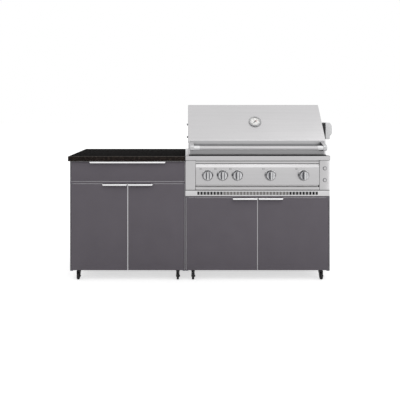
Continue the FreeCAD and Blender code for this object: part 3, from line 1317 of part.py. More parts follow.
def motor_cover():
    """Pale cover with a swollen upper part and a narrower foot."""
    start = CHEEK_RIGHT + GEARCASE_REACH
    low, high = SPIT_Z - COVER_HEIGHT / 2, SPIT_Z + COVER_HEIGHT / 2
    outer = start + COVER_REACH
    foot = outer - COVER_FOOT_SETBACK
    front = [(start, low), (foot, low), (foot + EDGE_ROUND, low + COVER_FOOT_HEIGHT)]
    front += [(outer, low + COVER_SWELL), (outer, high - COVER_CROWN), (foot, high), (start, high)]
    radii = [0, 4, 10, COVER_ROUND, COVER_ROUND, 10, 0]
    half = COVER_DEPTH / 2
    form = prism("XZ", front, SPIT_Y - half, SPIT_Y + half, radii)
    plan = [(start, SPIT_Y - half), (outer, SPIT_Y - half), (outer, SPIT_Y + half), (start, SPIT_Y + half)]
    return form.common(prism("XY", plan, low, high, [0, COVER_ROUND, COVER_ROUND, 0]))


def motor_chuck():
    """Drive socket with a square hole for the spit."""
    start = Vec(CHEEK_RIGHT - CHUCK_REACH / 2, SPIT_Y, SPIT_Z)
    socket = pin(CHUCK_RADIUS, start, ALONG_X, 1.5 * CHUCK_REACH - CHUCK_CLEAR)
    half = CHUCK_HOLE / 2
    hole = box(start.x, start.x + CHUCK_REACH, SPIT_Y - half, SPIT_Y + half, SPIT_Z - half, SPIT_Z + half)
    return socket.cut(hole)


def cabinet_parts():
    """Cabinets with their drawer, doors and top."""
    drawer_half = DRAWER_PULL_LENGTH / 2
    middle = LEFT_WIDTH / 2
    side = LIP + SIDE_REVEAL
    parts = {
        "left_carcass": left_carcass(),
        "right_carcass": right_carcass(),
        "left_shelf": [left_shelf()],
        "left_stop_frame": left_stop_frame(),
        "right_stop_frame": right_stop_frame(),
        "pivot_brackets": pivot_brackets(),
        "drawer_runners": drawer_runners(),
        "drawer_slides": drawer_slides(),
        "drawer_box": drawer_box(),
        "drawer_front": [front_leaf(side, LEFT_WIDTH - side, DRAWER_FRONT_BOTTOM, DRAWER_TOP)],
        "drawer_pull": [edge_pull(middle - drawer_half, middle + drawer_half, DRAWER_TOP)],
        "countertop": [countertop()],
    }
    for name, door in door_set().items():
        x0, x1, top, _ = door
        parts[name] = [door_leaf(x0, x1, top, pin_place(door))]
        parts[name.replace("door", "pull")] = [edge_pull(*pull_span(door), top)]
    return parts


def caster_parts():
    """Plates, forks and wheels."""
    parts = {"caster_plates": caster_mounts()}
    for number, x in enumerate(caster_columns(), start=1):
        parts[f"front_fork_{number}"] = [swivel_fork(x)]
        parts[f"front_wheel_{number}"] = [caster_wheel(x, CASTER_FRONT_Y - TRAIL)]
        parts[f"rear_wheel_{number}"] = [caster_wheel(x, CASTER_BACK_Y)]
    return parts


def grill_parts():
    """Grill, its controls, hood and rotisserie motor."""
    parts = {
        "grill_deck": [grill_deck()],
        "grill_front": grill_front(),
        "control_panel": [control_panel()],
        "control_bezels": control_bezels(),
        "firebox": firebox(),
        "cooking_grates": cooking_grates(),
        "flame_tamers": flame_tamers(),
        "burners": burners(),
        "gas_manifold": [gas_manifold()],
        "drip_tray": [drip_tray()],
        "side_cheeks": side_cheeks(),
        "bracket_screws": bracket_screws(),
        "hood": [hood()],
        "hood_handle": hood_handle(),
        "handle_brackets": handle_brackets(),
        "thermometer": thermometer(),
        "thermometer_needle": [thermometer_needle()],
        "motor_gearcase": [motor_gearcase()],
        "motor_cover": [motor_cover()],
        "motor_chuck": [motor_chuck()],
    }
    for number, place in enumerate(KNOB_PLACES, start=1):
        parts[f"knob_{number}"] = [knob(place)]
    for number, rise in enumerate(BUTTON_RISES, start=1):
        parts[f"push_button_{number}"] = [push_button(rise)]
    return parts


def main():
    os.makedirs("parts", exist_ok=True)
    parts = {**cabinet_parts(), **caster_parts(), **grill_parts()}
    for name, solids in parts.items():
        shape = solids[0] if len(solids) == 1 else Part.makeCompound(solids)
        shape.translated(-ORIGIN).exportStep(f"parts/{name}.step")
    print(len(parts), "parts")


if __name__ == "__main__":
    main()
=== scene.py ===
"""Dresses the outdoor kitchen island: eased edges, turned controls, casters, finishes, camera and light."""

import json
import logging
import math
from collections.abc import Callable
from dataclasses import dataclass
from enum import Enum

import bmesh
import bpy
from mathutils import Matrix, Vector

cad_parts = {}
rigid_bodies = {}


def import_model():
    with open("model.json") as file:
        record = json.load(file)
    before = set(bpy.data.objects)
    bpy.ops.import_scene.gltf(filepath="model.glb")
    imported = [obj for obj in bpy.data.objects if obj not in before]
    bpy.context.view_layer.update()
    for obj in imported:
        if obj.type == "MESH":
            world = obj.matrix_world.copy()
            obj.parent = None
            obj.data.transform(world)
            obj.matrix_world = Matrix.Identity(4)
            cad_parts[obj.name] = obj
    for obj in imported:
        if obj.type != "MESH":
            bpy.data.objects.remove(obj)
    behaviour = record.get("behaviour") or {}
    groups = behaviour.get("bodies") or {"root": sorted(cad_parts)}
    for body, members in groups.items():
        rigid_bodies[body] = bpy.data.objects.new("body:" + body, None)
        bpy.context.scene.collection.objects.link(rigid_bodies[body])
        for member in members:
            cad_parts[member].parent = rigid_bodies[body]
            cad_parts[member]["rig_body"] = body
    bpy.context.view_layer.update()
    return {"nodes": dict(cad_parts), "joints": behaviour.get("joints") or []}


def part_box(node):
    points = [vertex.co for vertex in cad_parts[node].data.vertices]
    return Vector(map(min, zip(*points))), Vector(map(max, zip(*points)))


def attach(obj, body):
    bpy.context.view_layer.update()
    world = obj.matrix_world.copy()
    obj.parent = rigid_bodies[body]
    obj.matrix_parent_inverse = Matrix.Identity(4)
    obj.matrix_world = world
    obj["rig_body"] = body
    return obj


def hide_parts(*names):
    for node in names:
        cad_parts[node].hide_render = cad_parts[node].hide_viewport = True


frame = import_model()
log = logging.getLogger("island")

MM = 0.001
LEFT = Vector((-1, 0, 0))
RIGHT = Vector((1, 0, 0))
FRONT = Vector((0, -1, 0))
BACK = Vector((0, 1, 0))
UP = Vector((0, 0, 1))
# A face looks straight along an axis where that part of its normal is larger than this.
STRAIGHT = 0.9
# Most values of a noise pattern lie between these.
NOISE_SPAN = (0.3, 0.7)
FaceTest = Callable[[Vector, Vector], bool]
Profile = list[tuple[float, float]]


def linear(code: str) -> tuple[float, float, float, float]:
    """Turns an sRGB hex code into a linear colour.

    Args:
        code: Six hex digits.

    Returns:
        Red, green, blue and an alpha of one.
    """
    levels = [int(code[i : i + 2], 16) / 255 for i in (0, 2, 4)]
    parts = [v / 12.92 if v <= 0.04045 else ((v + 0.055) / 1.055) ** 2.4 for v in levels]
    return (parts[0], parts[1], parts[2], 1.0)


def middle_of(node: str) -> Vector:
    """Gives the middle of a CAD node's box."""
    low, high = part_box(node)
    return (low + high) / 2


def add_node(tree: bpy.types.NodeTree, kind: str, inputs: dict | None = None, **settings) -> bpy.types.Node:
    """Adds a node with its settings, values and links.

    Args:
        tree: Node tree that gets the node.
        kind: The node's type name.
        inputs: Value or output socket for each input, by name or number.
        settings: Properties of the node itself.

    Returns:
        The new node.
    """
    node = tree.nodes.new(kind)
    for name, value in settings.items():
        setattr(node, name, value)
    for name, value in (inputs or {}).items():
        if isinstance(value, bpy.types.NodeSocket):
            tree.links.new(value, node.inputs[name])
        else:
            node.inputs[name].default_value = value
    return node


class Grain(Enum):
    """Direction of a brushed finish's lines, as the stretch of its noise along X, Y and Z."""

    ALONG_X = (1.2, 420.0, 420.0)
    ALONG_Z = (420.0, 420.0, 1.2)


@dataclass(frozen=True)
class Finish:
    """Finish with a name, a main colour, a gloss and the strength of its pattern."""

    name: str
    colour: str
    roughness: float = 0.5
    specular: float = 0.5
    metallic: float = 0.0
    spread: float = 0.05
    relief: float = 0.0
    depth_mm: float = 0.0

    def build(self) -> bpy.types.Material:
        """Makes the material with its shader and lays the finish's pattern on it.

        Returns:
            The material.
        """
        material = bpy.data.materials.new(self.name)
        material.use_nodes = True
        material.diffuse_color = linear(self.colour)
        tree = material.node_tree
        tree.nodes.clear()
        values = {"Base Color": linear(self.colour), "Metallic": self.metallic, "Roughness": self.roughness,
                  "Specular IOR Level": self.specular}
        shader = add_node(tree, "ShaderNodeBsdfPrincipled", values)
        add_node(tree, "ShaderNodeOutputMaterial", {"Surface": shader.outputs[0]})
        self.pattern(tree, shader, add_node(tree, "ShaderNodeTexCoord").outputs["Object"])
        return material

    def pattern(self, tree: bpy.types.NodeTree, shader: bpy.types.Node, place: bpy.types.NodeSocket) -> None:
        """Lays the finish's pattern on its shader, by the Object coordinates of the place."""
        raise NotImplementedError

    def shade(self, shader: bpy.types.Node, pattern: bpy.types.NodeSocket) -> None:
        """Varies the colour darker and lighter with a pattern.

        Args:
            shader: The material's shader.
            pattern: Noise pattern that runs from 0 to 1.
        """
        tree = shader.id_data
        base = linear(self.colour)
        ramp = add_node(tree, "ShaderNodeValToRGB", {"Fac": pattern})
        for element, level, factor in zip(ramp.color_ramp.elements, NOISE_SPAN, (1 - self.spread, 1 + self.spread)):
            element.position = level
            element.color = tuple(min(1.0, part * factor) for part in base[:3]) + (1.0,)
        tree.links.new(ramp.outputs["Color"], shader.inputs["Base Color"])

    def texture(self, shader: bpy.types.Node, gloss: bpy.types.NodeSocket, span: tuple[float, float],
                change: tuple[float, float], height: bpy.types.NodeSocket | None = None) -> None:
        """Varies the gloss with one pattern and raises the surface with another.

        Args:
            shader: The material's shader.
            gloss: Pattern of the gloss.
            span: The pattern's values where the finish is glossiest and roughest.
            change: What is added to the roughness there.
            height: Pattern of the surface's height, or None where it stays smooth.
        """
        tree = shader.id_data
        values = {"Value": gloss, "From Min": span[0], "From Max": span[1], "To Min": self.roughness + change[0],
                  "To Max": self.roughness + change[1]}
        rough = add_node(tree, "ShaderNodeMapRange", values)
        tree.links.new(rough.outputs[0], shader.inputs["Roughness"])
        if height is not None:
            values = {"Strength": self.relief, "Distance": self.depth_mm * MM, "Height": height}
            tree.links.new(add_node(tree, "ShaderNodeBump", values).outputs[0], shader.inputs["Normal"])


@dataclass(frozen=True)
class MouldedBoard(Finish):
    """Weatherproof polymer board with a fine leather-like skin from the press."""

    spread: float = 0.035
    relief: float = 0.35
    depth_mm: float = 0.05
    skin_mm: float = 1.6
    clouds_per_metre: float = 7.0

    def pattern(self, tree: bpy.types.NodeTree, shader: bpy.types.Node, place: bpy.types.NodeSocket) -> None:
        """Satin skin of shallow pebbles, with a faint cloudiness across the board.

        Args:
            tree: The material's node tree.
            shader: The material's shader.
            place: The Object coordinates.
        """
        pebble = add_node(tree, "ShaderNodeTexVoronoi", {"Vector": place, "Scale": 1 / (self.skin_mm * MM)})
        cloud = add_node(tree, "ShaderNodeTexNoise", {"Vector": place, "Scale": self.clouds_per_metre, "Detail": 4.0})
        self.shade(shader, cloud.outputs[0])
        self.texture(shader, pebble.outputs["Distance"], (0.0, 0.7), (-0.06, 0.08), pebble.outputs["Distance"])


@dataclass(frozen=True)
class BrushedMetal(Finish):
    """Sheet metal brushed in one direction."""

    metallic: float = 1.0
    relief: float = 0.25
    depth_mm: float = 0.02
    grain: Grain = Grain.ALONG_X
    smudges_per_metre: float = 4.0

    def pattern(self, tree: bpy.types.NodeTree, shader: bpy.types.Node, place: bpy.types.NodeSocket) -> None:
        """Long fine lines that vary the colour, the gloss and the surface, and faint cleaning marks.

        The real lines are about 0.1 mm wide. They are drawn some 2 mm wide, so that they show.

        Args:
            tree: The material's node tree.
            shader: The material's shader.
            place: The Object coordinates.
        """
        stretched = add_node(tree, "ShaderNodeMapping", {"Vector": place, "Scale": self.grain.value})
        lines = add_node(tree, "ShaderNodeTexNoise", {"Vector": stretched.outputs[0], "Scale": 1.0, "Detail": 3.0,
                                                      "Roughness": 0.6})
        smudge = add_node(tree, "ShaderNodeTexNoise", {"Vector": place, "Scale": self.smudges_per_metre,
                                                       "Detail": 3.0})
        both = add_node(tree, "ShaderNodeMath", {0: lines.outputs[0], 1: smudge.outputs[0]}, operation="ADD")
        self.shade(shader, lines.outputs[0])
        self.texture(shader, both.outputs[0], (0.6, 1.4), (-0.05, 0.07), lines.outputs[0])


@dataclass(frozen=True)
class HeightShadedMetal(BrushedMetal):
    """Brushed sheet metal in tones that change with the height, painted shade."""

    # The default tones are the hood band's painted shade, by height in metres: darker below the handle, with a painted
    # shadow line just above its tube.
    tones: tuple[tuple[float, str], ...] = ((0.886, "9C9C9D"), (0.948, "9C9C9D"), (0.953, "8C8C8E"),
                                            (0.958, "929293"), (0.963, "B2B2B3"), (0.975, "B9B9BA"))

    def pattern(self, tree: bpy.types.NodeTree, shader: bpy.types.Node, place: bpy.types.NodeSocket) -> None:
        """Brushed lines on the tones, which are given by height in metres and colour.

        Args:
            tree: The material's node tree.
            shader: The material's shader.
            place: The Object coordinates.
        """
        super().pattern(tree, shader, place)
        brushed = shader.inputs["Base Color"].links[0].from_socket
        level = add_node(tree, "ShaderNodeSeparateXYZ", {"Vector": place}).outputs["Z"]
        start, end = self.tones[0][0], self.tones[-1][0]
        share = add_node(tree, "ShaderNodeMapRange", {"Value": level, "From Min": start, "From Max": end})
        ramp = add_node(tree, "ShaderNodeValToRGB", {"Fac": share.outputs[0]})
        stops = ramp.color_ramp.elements
        for height, _ in self.tones[1:-1]:
            stops.new((height - start) / (end - start))
        for stop, (_, tone) in zip(stops, self.tones):
            stop.color = tuple(low / high for low, high in zip(linear(tone), linear(self.colour)))
        toned = add_node(tree, "ShaderNodeMix", {0: 1.0, 6: brushed, 7: ramp.outputs["Color"]}, data_type="RGBA",
                         blend_type="MULTIPLY")
        tree.links.new(toned.outputs[2], shader.inputs["Base Color"])


@dataclass(frozen=True)
class SmoothMetal(Finish):
    """Polished, anodised, cast or plated metal without a direction."""

    metallic: float = 1.0
    spread: float = 0.04
    cloud_mm: float = 30.0

    def pattern(self, tree: bpy.types.NodeTree, shader: bpy.types.Node, place: bpy.types.NodeSocket) -> None:
        """Even metal whose gloss varies with faint wiping marks.

        Args:
            tree: The material's node tree.
            shader: The material's shader.
            place: The Object coordinates.
        """
        cloud = add_node(tree, "ShaderNodeTexNoise", {"Vector": place, "Scale": 1 / (self.cloud_mm * MM),
                                                      "Detail": 5.0})
        self.shade(shader, cloud.outputs[0])
        self.texture(shader, cloud.outputs[0], NOISE_SPAN, (-0.25 * self.roughness, 0.3 * self.roughness))


@dataclass(frozen=True)
class HonedStone(Finish):
    """Honed granite slab."""

    relief: float = 0.15
    depth_mm: float = 0.05
    fleck: str = "4A3F38"
    crystal_mm: float = 3.0
    grains_per_metre: float = 60.0

    def pattern(self, tree: bpy.types.NodeTree, shader: bpy.types.Node, place: bpy.types.NodeSocket) -> None:
        """Near-black ground with brown and grey crystals a few millimetres across.

        Args:
            tree: The material's node tree.
            shader: The material's shader.
            place: The Object coordinates.
        """
        cells = add_node(tree, "ShaderNodeTexVoronoi", {"Vector": place, "Scale": 1 / (self.crystal_mm * MM)})
        pick = add_node(tree, "ShaderNodeSeparateColor", {"Color": cells.outputs["Color"]})
        fine = add_node(tree, "ShaderNodeTexNoise", {"Vector": place, "Scale": self.grains_per_metre,
                                                     "Detail": 6.0})
        mixed = add_node(tree, "ShaderNodeMath", {0: pick.outputs[0], 1: fine.outputs[0]}, operation="MULTIPLY")
        ramp = add_node(tree, "ShaderNodeValToRGB", {"Fac": mixed.outputs[0]})
        for element, share, tone in zip(ramp.color_ramp.elements, (0.28, 0.62), (self.colour, self.fleck)):
            element.position = share
            element.color = linear(tone)
        tree.links.new(ramp.outputs["Color"], shader.inputs["Base Color"])
        self.texture(shader, fine.outputs[0], (0.0, 1.0), (-0.1, 0.1), cells.outputs["Distance"])


@dataclass(frozen=True)
class GritSurface(Finish):
    """Moulded, cast, woven or painted surface with an even grit."""

    spread: float = 0.08
    relief: float = 0.4
    depth_mm: float = 0.06
    grit_mm: float = 1.0
    clouds_per_metre: float = 18.0

    def pattern(self, tree: bpy.types.NodeTree, shader: bpy.types.Node, place: bpy.types.NodeSocket) -> None:
        """Fine grit in the surface with a little change of shade from place to place.

        Args:
            tree: The material's node tree.
            shader: The material's shader.
            place: The Object coordinates.
        """
        grit = add_node(tree, "ShaderNodeTexNoise", {"Vector": place, "Scale": 1 / (self.grit_mm * MM),
                                                     "Detail": 4.0})
        cloud = add_node(tree, "ShaderNodeTexNoise", {"Vector": place, "Scale": self.clouds_per_metre,
                                                      "Detail": 3.0})
        self.shade(shader, cloud.outputs[0])
        self.texture(shader, grit.outputs[0], NOISE_SPAN, (-0.07, 0.07), grit.outputs[0])


@dataclass(frozen=True)
class DialGlass(Finish):
    """Flat glass over a dial."""

    roughness: float = 0.0
    refraction: float = 1.05
    dust_per_metre: float = 120.0

    def pattern(self, tree: bpy.types.NodeTree, shader: bpy.types.Node, place: bpy.types.NodeSocket) -> None:
        """Clear pane whose gloss is broken by faint dust.

        Args:
            tree: The material's node tree.
            shader: The material's shader.
            place: The Object coordinates.
        """
        shader.inputs["Transmission Weight"].default_value = 1.0
        shader.inputs["IOR"].default_value = self.refraction
        dust = add_node(tree, "ShaderNodeTexNoise", {"Vector": place, "Scale": self.dust_per_metre, "Detail": 3.0})
        self.texture(shader, dust.outputs[0], (0.0, 1.0), (0.0, 0.06))


class Finishes:
    """The island's finishes, each made once."""

    def __init__(self) -> None:
        """Makes every material."""
        # Slate polymer board: flat, slightly purple grey with a soft sheen and no visible joints.
        self.board = MouldedBoard("slate_polymer_board", "68636A", 0.55, 0.3).build()
        # Satin anodised aluminium: the stop frames behind the fronts, pale lines in the gaps; also the painted shade
        # on the pulls' lower chamfers.
        self.satin_and_shade = BrushedMetal("satin_anodised_aluminium", "B8B7BA", 0.4, grain=Grain.ALONG_Z).build()
        # Brighter satin aluminium, painted light: the strip in the doors' split.
        self.split = BrushedMetal("satin_aluminium_painted_light", "DAD9DC", 0.4, grain=Grain.ALONG_Z).build()
        # Bright anodised aluminium: nearly white, the edge pulls; the same white is painted light on the strip under
        # the stone and a painted highlight on the bezels' tops.
        self.bright = SmoothMetal("bright_aluminium_and_painted_highlight", "FBFBFC", 0.32, spread=0.01).build()
        # Zinc plate: dull blueish grey with a cloudy bloom.
        self.zinc = SmoothMetal("zinc_plated_steel", "A4A6AC", 0.38, cloud_mm=12.0, spread=0.12).build()
        # Brushed stainless: pale grey sheet with long level lines.
        self.sheet = BrushedMetal("brushed_stainless_sheet", "CAC9CA", 0.33).build()
        # Brushed stainless of the vented apron, painted a shade paler than the panel above it as painted light.
        self.apron = BrushedMetal("brushed_stainless_apron_painted_light", "D8D7D8", 0.33).build()
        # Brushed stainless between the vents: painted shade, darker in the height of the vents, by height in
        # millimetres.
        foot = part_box("grill_front")[0].z
        tones = ((0, "D8D7D8"), (9, "D8D7D8"), (11, "ACABAC"), (31, "ACABAC"), (33, "D8D7D8"), (43, "D8D7D8"))
        self.vents = HeightShadedMetal("vented_apron_painted_shade", "D8D7D8", 0.33,
                                    tones=tuple((foot + height * MM, tone) for height, tone in tones)).build()
        # Satin stainless tube: softer than the sheet, the hood's handle.
        self.tube = BrushedMetal("satin_stainless_tube", "C6C5C6", 0.45).build()
        # Brushed stainless, upright lines: folded ends, cheeks and buttons.
        self.upright = BrushedMetal("brushed_stainless_upright", "C4C3C4", 0.36, grain=Grain.ALONG_Z).build()
        # Brushed stainless of the hood's lower band: painted shade, darker grey below the handle, with a painted
        # shadow line just above the handle's tube.
        self.band = HeightShadedMetal("stainless_band_painted_shade", "B9B9BA", 0.34).build()
        # Satin steel ring: the thermometer's case and the knobs' bezels, plain grey beside the pale sheet.
        self.ring = SmoothMetal("satin_steel_ring", "AEAEAF", 0.3, cloud_mm=15.0, spread=0.05).build()
        # Heat-dulled stainless: greyer and rougher, the firebox, tamers and burners; on the baffle behind the vents it
        # is painted shade.
        self.fired_and_shade = SmoothMetal("heat_dulled_stainless_and_painted_shade", "8F8C89", 0.5, cloud_mm=25.0, spread=0.18).build()
        # Polished zinc casting: bright, with sharp reflections, the knobs' faces and the motor's chuck.
        self.chrome = SmoothMetal("polished_zinc_casting", "D0D0D2", 0.18, cloud_mm=15.0).build()
        # Buffed zinc casting: pale and even, the knobs' bars and the handle's sleeves.
        self.buffed = SmoothMetal("buffed_zinc_casting", "DADADB", 0.34, cloud_mm=20.0, spread=0.03).build()
        # Tumbled zinc casting: the handle's arms, as pale as the sheet that they stand on.
        self.cast = SmoothMetal("tumbled_zinc_casting", "CBCBCC", 0.4, cloud_mm=20.0, spread=0.03).build()
        # Satin zinc casting: duller, the rings round the buttons and the thumb screws.
        self.casting = SmoothMetal("satin_zinc_casting", "8B8B8E", 0.34, cloud_mm=15.0, spread=0.08).build()
        # Dark painted shade: the inner sides of the handle's arms, and a painted dark reflection on the deck's edge
        # under the hood.
        self.dark_shade = SmoothMetal("dark_painted_shade", "48484B", 0.4, cloud_mm=15.0, spread=0.1).build()
        # Mid grey painted shade: the plinths, walls and flanks of the knobs, and painted dark reflections on the sides
        # of their bezels.
        self.grey_shade = SmoothMetal("grey_painted_shade", "646468", 0.4, cloud_mm=15.0, spread=0.1).build()
        # Grey painted shade: thin strips in the seams of the steel front, seen as shadow lines.
        self.shade_strip = GritSurface("grey_painted_shade_strip", "4A4A4C", 0.8, 0.1, grit_mm=1.2, depth_mm=0.2).build()
        # Black painted shade: the strip under the hood's front edge, a deep black shadow line.
        self.deep_shade = GritSurface("black_painted_shade_strip", "0C0C0D", 0.85, 0.05, grit_mm=1.6, depth_mm=0.3).build()
        # Honed black granite, sealed matt: brownish black with small crystals and next to no gloss.
        self.stone = HonedStone("honed_black_granite", "070606", 0.8, 0.01, fleck="1C1816").build()
        # Granite arris with a painted highlight: the slab's front edge, pale and a little glossy.
        self.edge_highlight = HonedStone("granite_arris_painted_highlight", "57524F", 0.5, 0.2, fleck="746D68").build()
        # Granite of the slab's sides: the same stone, painted a shade paler than the top as painted light.
        self.lit_side_stone = HonedStone("granite_sides_painted_light", "201C1A", 0.7, 0.03, fleck="4A403A").build()
        # Black nylon: slightly glossy caster forks and wheel rims.
        self.nylon = GritSurface("black_nylon", "1B1B1D", 0.42, grit_mm=0.8, depth_mm=0.03).build()
        # Black electrocoat: the casters' pressed plates, rear forks and axle nuts.
        self.coated = GritSurface("black_electrocoat", "19191A", 0.45, grit_mm=0.9, depth_mm=0.02).build()
        # Black rubber: dull caster treads and the seal round the gas pipe.
        self.rubber = GritSurface("black_tread_rubber", "161616", 0.7, grit_mm=0.7, depth_mm=0.08).build()
        # Spark-eroded black moulding: the motor's gear case.
        self.motor_black = GritSurface("spark_eroded_black", "1B1B1D", 0.6, grit_mm=1.0).build()
        # Pale grey moulding: the motor's cover.
        self.motor_grey = GritSurface("pale_grey_moulding", "EBEBEC", 0.48, spread=0.03, depth_mm=0.03,
                                      grit_mm=0.9).build()
        # Seasoned cast iron: matt black with a sandy cast skin.
        self.iron = GritSurface("seasoned_cast_iron", "262627", 0.62, grit_mm=1.8, depth_mm=0.25).build()
        # Turned brass: gas pipe and valves.
        self.brass = SmoothMetal("turned_brass", "C9A45C", 0.3, cloud_mm=10.0, spread=0.1).build()
        # White enamel: the dial's face.
        self.enamel = GritSurface("white_enamel", "F4F3F1", 0.35, grit_mm=0.5, depth_mm=0.01, spread=0.02).build()
        # Black print: etched and filled marks, the dial's scale and its needle.
        self.ink = GritSurface("black_filled_etching", "4A4A4C", 0.5, grit_mm=0.6, depth_mm=0.01).build()
        # Red lacquer: the hot zone on the dial.
        self.red = GritSurface("red_dial_lacquer", "B4524A", 0.5, grit_mm=0.6, depth_mm=0.01).build()
        # Glass: the dial's pane.
        self.glass = DialGlass("dial_glass", "FFFFFF").build()


def deselect() -> None:
    """Leaves edit mode and deselects everything."""
    if bpy.context.object and bpy.context.object.mode != "OBJECT":
        bpy.ops.object.mode_set(mode="OBJECT")
    bpy.ops.object.select_all(action="DESELECT")


class Workpiece:
    """Mesh object that is shaped by hand tools."""

    def __init__(self, piece: bpy.types.Object, name: str) -> None:
        """Takes over an object.

        Args:
            piece: The object.
            name: Its new name.
        """
        self.piece = piece
        piece.name = name
        piece.data.name = name

    @classmethod
    def block(cls, name: str, low: Vector, high: Vector) -> "Workpiece":
        """Adds a block between two corners.

        Args:
            name: Name of the piece.
            low: Lowest corner.
            high: Highest corner.

        Returns:
            The new workpiece.
        """
        deselect()
        bpy.ops.mesh.primitive_cube_add(size=1, location=(low + high) / 2)
        work = cls(bpy.context.object, name)
        work.piece.scale = high - low
        work.settle()
        return work

    @classmethod
    def turned(cls, name: str, base: Vector, axis: Vector, profile_mm: Profile, sides: int = 64,
               ring: bool = False) -> "Workpiece":
        """Turns a round body by extruding and resizing a circle along its axis.

        Args:
            name: Name of the piece.
            base: Point on the axis from which the profile is measured.
            axis: Direction of the axis.
            profile_mm: Pairs of radius and place along the axis, in millimetres.
            sides: Number of sides of the circle.
            ring: Whether the profile closes on itself and leaves a hole.

        Returns:
            The new workpiece.
        """
        deselect()
        profile = [(radius * MM, along * MM) for radius, along in profile_mm]
        radius, along = profile[0]
        turn = axis.to_track_quat("Z", "Y").to_euler()
        fill = "NOTHING" if ring else "NGON"
        bpy.ops.mesh.primitive_circle_add(vertices=sides, radius=radius, fill_type=fill,
                                          location=base + axis * along, rotation=turn)
        work = cls(bpy.context.object, name)
        work.settle()
        bpy.ops.object.mode_set(mode="EDIT")
        bpy.ops.mesh.select_mode(type="VERT")
        bpy.ops.mesh.select_all(action="SELECT")
        stations = profile[1:] + profile[:1] if ring else profile[1:]
        for next_radius, next_along in stations:
            bpy.ops.mesh.extrude_region_move(TRANSFORM_OT_translate={"value": axis * (next_along - along)})
            ratio = next_radius / radius
            bpy.ops.transform.resize(value=(ratio, ratio, ratio), center_override=base + axis * next_along)
            radius, along = next_radius, next_along
        bpy.ops.mesh.select_all(action="SELECT")
        bpy.ops.mesh.remove_doubles(threshold=0.001 * MM)
        bpy.ops.mesh.normals_make_consistent(inside=False)
        bpy.ops.object.mode_set(mode="OBJECT")
        return work

    @classmethod
    def welded(cls, node: str, name: str) -> "Workpiece":
        """Copies a CAD node's mesh and welds its triangles into plain faces.

        Args:
            node: Name of the CAD node.
            name: Name of the copy.

        Returns:
            The new workpiece.
        """
        deselect()
        piece = bpy.data.objects.new(name, frame["nodes"][node].data.copy())
        bpy.context.scene.collection.objects.link(piece)
        work = cls(piece, name)
        work.activate()
        piece.data.materials.clear()
        bpy.ops.mesh.customdata_custom_splitnormals_clear()
        bpy.ops.object.mode_set(mode="EDIT")
        bpy.ops.mesh.select_all(action="SELECT")
        bpy.ops.mesh.remove_doubles(threshold=0.002 * MM)
        bpy.ops.mesh.dissolve_limited(angle_limit=math.radians(0.5))
        bpy.ops.object.mode_set(mode="OBJECT")
        return work

    @classmethod
    def numeral(cls, name: str, digits: str, height: float, depth: float) -> "Workpiece":
        """Writes a plain number, flat at the origin and read from above.

        Args:
            name: Name of the piece.
            digits: The number.
            height: Height of the digits in metres.
            depth: Half of their thickness in metres.

        Returns:
            The new workpiece.
        """
        deselect()
        bpy.ops.object.text_add()
        text = bpy.context.object
        text.data.body = digits
        text.data.size = height
        text.data.extrude = depth
        text.data.align_x = "CENTER"
        text.data.align_y = "CENTER"
        bpy.ops.object.convert(target="MESH")
        return cls(bpy.context.object, name)

    def place(self, matrix: Matrix) -> "Workpiece":
        """Moves and turns the piece, and keeps the result in its mesh.

        Args:
            matrix: Place and turn of the piece.

        Returns:
            This workpiece.
        """
        self.piece.matrix_world = matrix
        self.settle()
        return self

    def paint(self, chosen: FaceTest, material: bpy.types.Material) -> "Workpiece":
        """Gives the chosen faces a second finish.

        Args:
            chosen: Test that gets a face's middle and normal.
            material: Their finish.

        Returns:
            This workpiece.
        """
        self.piece.data.materials.append(material)
        number = len(self.piece.data.materials) - 1
        for face in self.piece.data.polygons:
            if chosen(face.center, face.normal):
                face.material_index = number
        return self

    def activate(self) -> None:
        """Selects this piece alone."""
        deselect()
        self.piece.select_set(True)
        bpy.context.view_layer.objects.active = self.piece

    def settle(self) -> None:
        """Moves the object's place, turn and scale into its mesh."""
        self.activate()
        bpy.ops.object.transform_apply(location=True, rotation=True, scale=True)

    def edit_faces(self, chosen: FaceTest) -> None:
        """Opens edit mode with the chosen faces selected.

        Args:
            chosen: Test that gets a face's middle and normal.
        """
        self.activate()
        bpy.ops.object.mode_set(mode="EDIT")
        bpy.ops.mesh.select_mode(type="FACE")
        bpy.ops.mesh.select_all(action="DESELECT")
        mesh = bmesh.from_edit_mesh(self.piece.data)
        for face in mesh.faces:
            face.select_set(bool(chosen(face.calc_center_median(), face.normal)))
        bmesh.update_edit_mesh(self.piece.data)

    def taper(self, chosen: FaceTest, factor: tuple[float, float, float]) -> "Workpiece":
        """Resizes the chosen faces about their own middle.

        Args:
            chosen: Test that gets a face's middle and normal.
            factor: Factors along X, Y and Z.

        Returns:
            This workpiece.
        """
        self.edit_faces(chosen)
        mesh = bmesh.from_edit_mesh(self.piece.data)
        picked = [vert.co for vert in mesh.verts if vert.select]
        middle = sum(picked, Vector()) / len(picked)
        bpy.ops.transform.resize(value=factor, center_override=middle)
        bpy.ops.object.mode_set(mode="OBJECT")
        return self

    def ease(self, width: float, segments: int = 2, angle: float = 30) -> "Workpiece":
        """Rounds the sharp edges.

        Args:
            width: Width in metres.
            segments: Number of facets across the round.
            angle: Smallest angle, in degrees, of an edge that is rounded.

        Returns:
            This workpiece.
        """
        self.activate()
        bevel = self.piece.modifiers.new("ease", "BEVEL")
        bevel.width = width
        bevel.segments = segments
        bevel.limit_method = "ANGLE"
        bevel.angle_limit = math.radians(angle)
        bevel.harden_normals = False
        bpy.ops.object.modifier_apply(modifier=bevel.name)
        return self

